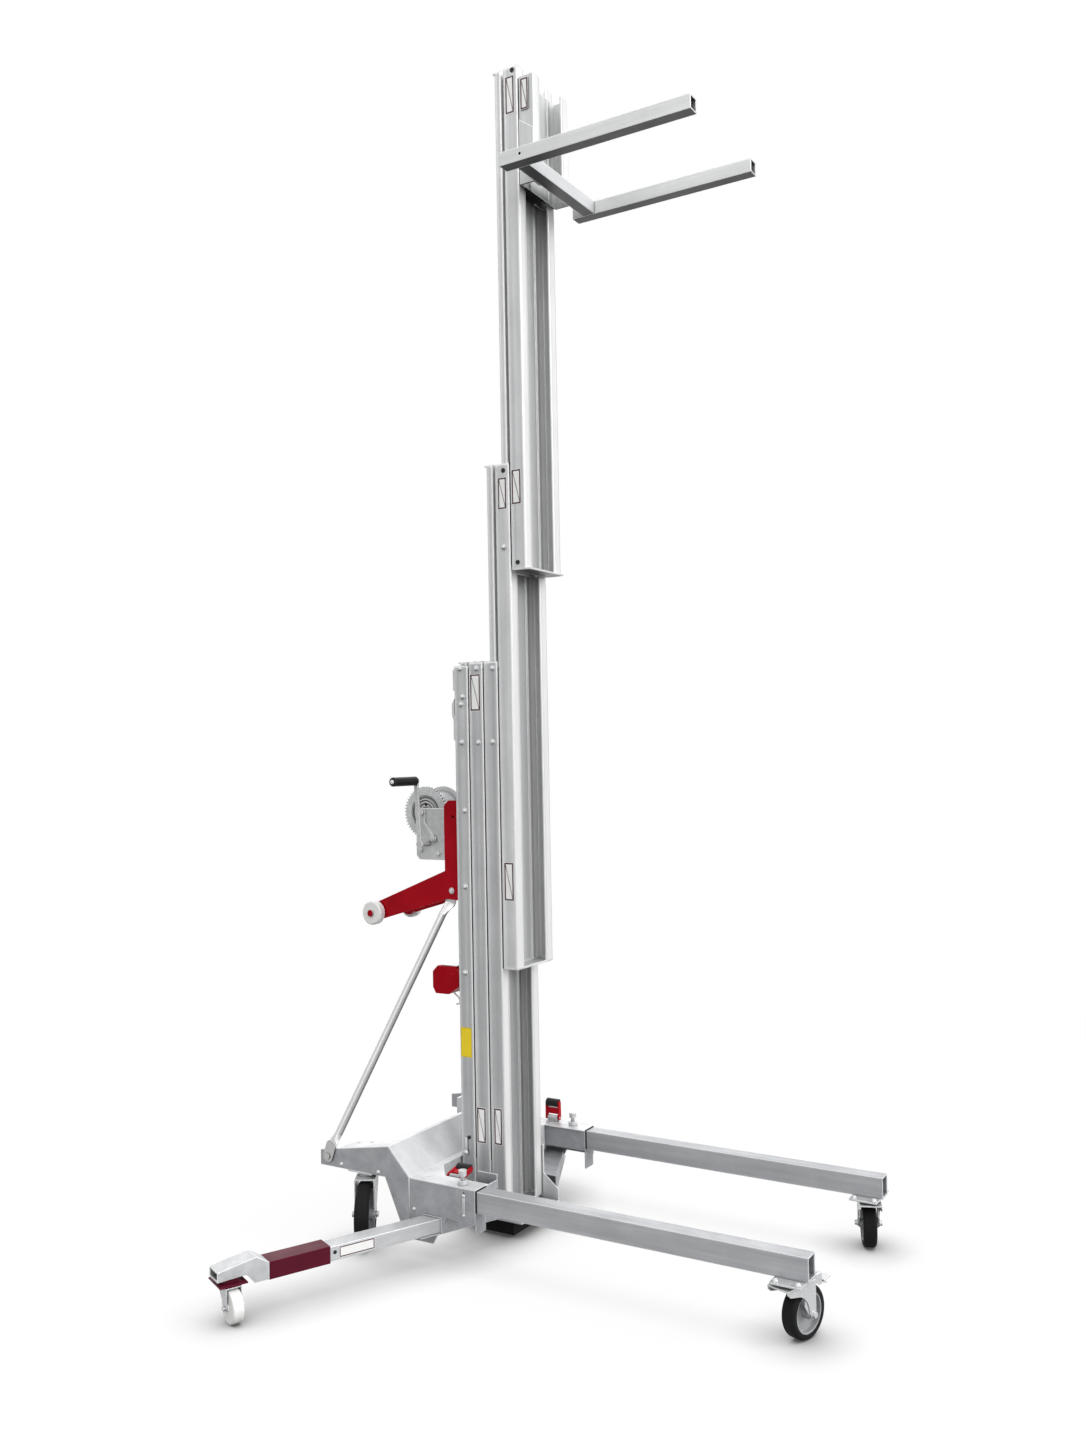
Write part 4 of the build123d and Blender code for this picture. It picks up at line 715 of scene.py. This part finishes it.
# Mast bracket and loading rollers.
# Cranked red steel side plates behind the mast, with white nylon rollers on an axle
# whose ends are capped in red.

dress(red_paint, "roller_bracket")
dress(zinc, "roller_axle")
dress(white_nylon, "load_roller_right", "load_roller_left")
axle_end = span("roller_axle")[1].y
bracket_face = span("roller_bracket")[1].y
axle_cap = [(0, 0), (12, 0), (12, 1), (10.5, 2), (0, 2)]
shape = bmesh.new()
for side in (-1, 1):
    add_turned(shape, at(-374, side * axle_end, 1066.5), (0, side, 0), axle_cap)
finished(shape, "axle_caps", red_paint, "base")
shape = bmesh.new()
for side in (-1, 1):
    add_hex_bolt(shape, at(-40, side * bracket_face, 1157), (0, side, 0), radius=8, height=6)
finished(shape, "bracket_bolts", zinc, "base")

# Winch.
# A pressed steel frame with a geared drum, a pinion shaft, a pawl and a cranked
# handle; the fasteners are zinc hexagon bolts and the black grip has a white end.

winch_steel = bare_metal("winch_steel", dull=(0.46, 0.47, 0.47), bright=(0.60, 0.61, 0.61),
                         stretch=(60.0, 60.0, 60.0), rough=(0.3, 0.46), reach=0.03)
drum_steel = bare_metal("drum_steel", dull=(0.48, 0.49, 0.495), bright=(0.64, 0.65, 0.655),
                        stretch=(60.0, 60.0, 60.0), rough=(0.26, 0.4), edge=0.003, reach=0.012)
drum_low, drum_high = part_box("winch_drum")
drum_axis = (drum_low + drum_high) / 2
tree = drum_steel.node_tree
where = tree.nodes.new("ShaderNodeTexCoord")
centred = tree.nodes.new("ShaderNodeMapping")
centred.inputs["Location"].default_value = (-drum_axis.x, 0.0, -drum_axis.z)
tree.links.new(where.outputs["Object"], centred.inputs["Vector"])
turned = tree.nodes.new("ShaderNodeTexWave")
turned.wave_type = "RINGS"
turned.rings_direction = "Y"
turned.inputs["Scale"].default_value = 26.0
tree.links.new(centred.outputs["Vector"], turned.inputs["Vector"])
flat = tree.nodes.new("ShaderNodeVectorMath")
flat.operation = "MULTIPLY"
flat.inputs[1].default_value = (1.0, 0.0, 1.0)
tree.links.new(centred.outputs["Vector"], flat.inputs[0])
spread = tree.nodes.new("ShaderNodeVectorMath")
spread.operation = "LENGTH"
tree.links.new(flat.outputs["Vector"], spread.inputs[0])


def joined(tree, operation, first, second):
    """Two values put together by one operation."""
    made = tree.nodes.new("ShaderNodeMath")
    made.operation = operation
    tree.links.new(first, made.inputs[0])
    tree.links.new(second, made.inputs[1])
    return made.outputs["Value"]


# Turned rings across the drum face, coloured near black: painted shade for their hollows.
rings_full, rings_end = 0.061, 0.064
groove_shade_tone = (0.09, 0.09, 0.092)
ring_shade = joined(tree, "MULTIPLY", ranged(tree, turned.outputs["Fac"], 0.0, 0.9, 0.3, 0.7),
                 ranged(tree, spread.outputs["Value"], 1.0, 0.0, rings_full, rings_end))
base = tree.nodes["Principled BSDF"].inputs["Base Color"]
tree.links.new(mix_colours(tree, ring_shade, base.links[0].from_socket, groove_shade_tone), base)
crank_steel = bare_metal("crank_steel", dull=(0.46, 0.47, 0.47), bright=(0.62, 0.63, 0.63),
                         stretch=(60.0, 60.0, 60.0), rough=(0.26, 0.4), edge=0.003, reach=0.012)
dress(winch_steel, "winch_frame")
dress(drum_steel, "winch_drum")
dress(crank_steel, "crank")
dress(black_grip, "crank_grip")
winch_low, winch_high = span("winch_frame")
shape = bmesh.new()
for side in (-1, 1):
    for x, z in ((-182, 1295), (-105, 1284)):
        add_hex_bolt(shape, at(x, side * winch_high.y, z), (0, side, 0), radius=8, height=8)
add_hex_bolt(shape, at(-126, winch_low.y, 1335.5), rightward, radius=10, height=9)
finished(shape, "winch_bolts", zinc, "base")
shape = bmesh.new()
add_hex_bolt(shape, Vector((drum_axis.x, drum_low.y, drum_axis.z)), rightward, radius=11, height=8)
finished(shape, "drum_nut", zinc, "drum")
grip_low, grip_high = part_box("crank_grip")
grip_axis = (grip_low + grip_high) / 2
pin_end = Vector((grip_axis.x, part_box("crank")[0].y, grip_axis.z))
shape = bmesh.new()
add_turned(shape, pin_end, rightward, [(0, 0), (7, 0), (6, 0.6), (0, 0.8)])
finished(shape, "grip_end", white_nylon, "crank_handle")

# Side stay.
# A plated steel tube with flattened ends, bolted inside the mast bracket and outside
# the right tail.

# The Under mask reaches faces tilted a little upward, so the tube's lower side gets painted shade.
stay_zinc = bare_metal("stay_zinc", dull=(0.62, 0.62, 0.625), bright=(0.74, 0.74, 0.745),
                       stretch=(6.0, 6.0, 2.0), rough=(0.18, 0.3), metallic=0.5, edge=0.0003,
                       reach=0.02, under_span=(0.25, -0.50))
dress(stay_zinc, "strut")

# Strap reel.
# A red moulded housing behind the mast, with a zinc top strip and the hook of its
# strap below.

dress(red_paint, "strap_reel")
reel_low, reel_high = span("strap_reel")
shape = bmesh.new()
add_domed_screw(shape, at(-41, reel_low.y, 865), rightward, radius=4, height=3)
finished(shape, "reel_screw", red_paint, "base")
shape = bmesh.new()
add_bar(shape, (-92, -92, reel_high.z), (-26, -18, reel_high.z + 3), edge=1.2)
finished(shape, "reel_strip", zinc, "base")
hook_wire = 3 / metre
hook_bends = [at(x, -80, z) for x, z in ((-46, 797), (-30, 786), (-22, 774), (-25, 763), (-36, 761))]
shape = bmesh.new()
for start, end in zip(hook_bends, hook_bends[1:]):
    run = end - start
    place = Matrix.Translation((start + end) / 2) @ turned_to(run)
    bmesh.ops.create_cone(shape, cap_ends=True, segments=12, radius1=hook_wire, radius2=hook_wire,
                          depth=run.length + hook_wire, matrix=place)
finished(shape, "strap_hook", zinc, "base")

# Grab handles.
# Slotted aluminium plates screwed to the back of the fixed section near its top.

dress(deck_alloy_lit, "grab_handles")
handle_face = span("grab_handles")[1].y
shape = bmesh.new()
for side in (-1, 1):
    for z in (1720, 1700):
        add_domed_screw(shape, at(-12, side * handle_face, z), (0, side, 0), radius=4.5, height=3.5)
finished(shape, "handle_screws", zinc, "base")

# Load carriage and forks.
# A welded aluminium carriage that runs in the last section, with a square crossbar
# and two square fork tubes welded to its ends.

carriage_alloy = mast_metal("carriage_alloy", dull=(0.50, 0.51, 0.51), bright=(0.68, 0.69, 0.69), edge=0.004)
cross_alloy = bare_metal("cross_alloy", dull=(0.58, 0.59, 0.60), bright=(0.74, 0.75, 0.76),
                         stretch=(45.0, 2.0, 45.0))
# The fork tubes are set lighter to stand for the light on them: painted light.
fork_alloy_lit = bare_metal("fork_alloy_lit", dull=(0.60, 0.61, 0.61), bright=(0.76, 0.77, 0.77),
                        stretch=(2.0, 45.0, 45.0))
dress(carriage_alloy, "carriage")
dress(cross_alloy, "crossbar")
dress(fork_alloy_lit, "fork_right", "fork_left")
buffer_thick = 4
shape = bmesh.new()
add_bar(shape, (268, -84, carriage_low.z - buffer_thick), (312, 30, carriage_low.z), edge=1.0)
finished(shape, "carriage_buffer", foot_rubber, "load_carriage")
shape = bmesh.new()
add_hex_bolt(shape, at(carriage_high.x, -103, 3614), forward, radius=6, height=6)
finished(shape, "carriage_bolt", zinc, "load_carriage")
shape = bmesh.new()
add_turned(shape, at(carriage_high.x, 101, 3625), forward, [(0, 0), (6, 0), (6, 2), (4, 3), (0, 3)])
finished(shape, "carriage_screw", dark_pin, "load_carriage")

# Floor and studio light.
# A pale floor that takes the shadows and fades to white, its glow dimmed close under
# the lift as a painted contact shadow; broad soft lamps from above, the front, the side
# and the back, and one small lamp high beside the mast.

shape = bmesh.new()
bmesh.ops.create_grid(shape, x_segments=1, y_segments=1, size=30.0)
floor_mesh = bpy.data.meshes.new("floor")
shape.to_mesh(floor_mesh)
shape.free()
floor = bpy.data.objects.new("floor", floor_mesh)
bpy.context.scene.collection.objects.link(floor)
floor_finish, tree, shader = material("floor_pale")
shader.inputs["Roughness"].default_value = 0.9
shader.inputs["Specular IOR Level"].default_value = 0.0


def seen_rays(tree):
    """1 for the rays that show the background: seen, mirrored or through glass."""
    rays = tree.nodes.new("ShaderNodeLightPath").outputs
    mirrored = joined(tree, "MAXIMUM", rays["Is Glossy Ray"], rays["Is Transmission Ray"])
    return joined(tree, "MAXIMUM", rays["Is Camera Ray"], mirrored)


fade_start, fade_end = 2.2, 5.0
near_grey, far_black = (0.15, 0.15, 0.15), (0.0, 0.0, 0.0)
where = tree.nodes.new("ShaderNodeTexCoord")
reach = tree.nodes.new("ShaderNodeVectorMath")
reach.operation = "LENGTH"
tree.links.new(where.outputs["Object"], reach.inputs[0])
distance = reach.outputs["Value"]
faded = ranged(tree, distance, 0.0, 1.0, fade_start, fade_end)
tree.links.new(mix_colours(tree, faded, near_grey, far_black), shader.inputs["Base Color"])
# Painted contact shadow: the floor's glow is dimmed by occlusion near the lift.
contact = tree.nodes.new("ShaderNodeAmbientOcclusion")
contact.samples = 16
contact.inputs["Distance"].default_value = 0.20
lift = joined(tree, "MULTIPLY", ranged(tree, contact.outputs["AO"], 0.05, 1.0, 0.25, 0.97),
              ranged(tree, distance, 0.83, 1.0, fade_start, fade_end))
glow = tree.nodes.new("ShaderNodeEmission")
tree.links.new(joined(tree, "MULTIPLY", lift, seen_rays(tree)), glow.inputs["Strength"])
both = tree.nodes.new("ShaderNodeAddShader")
tree.links.new(shader.outputs["BSDF"], both.inputs[0])
tree.links.new(glow.outputs["Emission"], both.inputs[1])
tree.links.new(both.outputs["Shader"], tree.nodes["Material Output"].inputs["Surface"])
floor_mesh.materials.append(floor_finish)

world = bpy.data.worlds.new("studio")
bpy.context.scene.world = world
world.use_nodes = True
sky = world.node_tree
backdrop = sky.nodes["Background"]
sky.links.new(ranged(sky, seen_rays(sky), 0.52, 1.0, 0.0, 1.0), backdrop.inputs["Strength"])
backdrop.inputs["Color"].default_value = (1.0, 1.0, 1.0, 1.0)


def aimed(way):
    """A turn that points a lamp along a direction."""
    return way.to_track_quat("-Z", "Y").to_matrix().to_4x4()


def soft_sun(name, origin, strength, spread):
    """A broad soft lamp from far off, shining from a direction, with its spread in degrees."""
    data = bpy.data.lights.new(name, "SUN")
    data.energy = strength
    data.angle = radians(spread)
    made = bpy.data.objects.new(name, data)
    made.matrix_world = aimed(-Vector(origin))
    bpy.context.scene.collection.objects.link(made)


soft_sun("overhead", (0.05, -0.12, 1.0), strength=1.2, spread=110)
soft_sun("front", (1.0, 0.35, 0.45), strength=1.6, spread=35)
soft_sun("near_front", (1.0, -0.45, 0.30), strength=0.5, spread=40)
soft_sun("side_fill", (0.35, -1.0, 0.30), strength=0.8, spread=60)
soft_sun("back_fill", (-0.7, 0.7, 0.3), strength=0.8, spread=60)
high_lamp = bpy.data.lights.new("high_side", "AREA")
high_lamp.size = 1.5
high_lamp.energy = 20.0
high_side = bpy.data.objects.new("high_side", high_lamp)
lamp_place = Vector((0.8, -2.8, 5.4))
lit_place = Vector((-0.1, 0.3, 3.5))
high_side.matrix_world = Matrix.Translation(lamp_place) @ aimed(lit_place - lamp_place)
bpy.context.scene.collection.objects.link(high_side)

# Camera.
# It stands to the front right of the lift, below half its height, where the straight
# edges of the masts, legs and forks put it.

yaw, pitch, roll = radians(59.032), radians(1.277), radians(-1.061)
ahead = Vector((-cos(yaw) * cos(pitch), sin(yaw) * cos(pitch), sin(pitch)))
aside = Vector((sin(yaw), cos(yaw), 0.0))
above = aside.cross(ahead)
aside, above = aside * cos(roll) + above * sin(roll), above * cos(roll) - aside * sin(roll)
eye = at(2487.4, -3665.8, 1637.0)
sensor = 36.0
focal_pixels, picture_height = 1244.3, 1448.0
camera_data = bpy.data.cameras.new("camera")
camera_data.lens = sensor * focal_pixels / picture_height
camera_data.sensor_width = sensor
camera_data.clip_end = 200.0
camera = bpy.data.objects.new("camera", camera_data)
camera.matrix_world = Matrix.Translation(eye) @ Matrix((aside, above, -ahead)).transposed().to_4x4()
bpy.context.scene.collection.objects.link(camera)
bpy.context.scene.camera = camera
bpy.context.scene.view_settings.view_transform = "Standard"
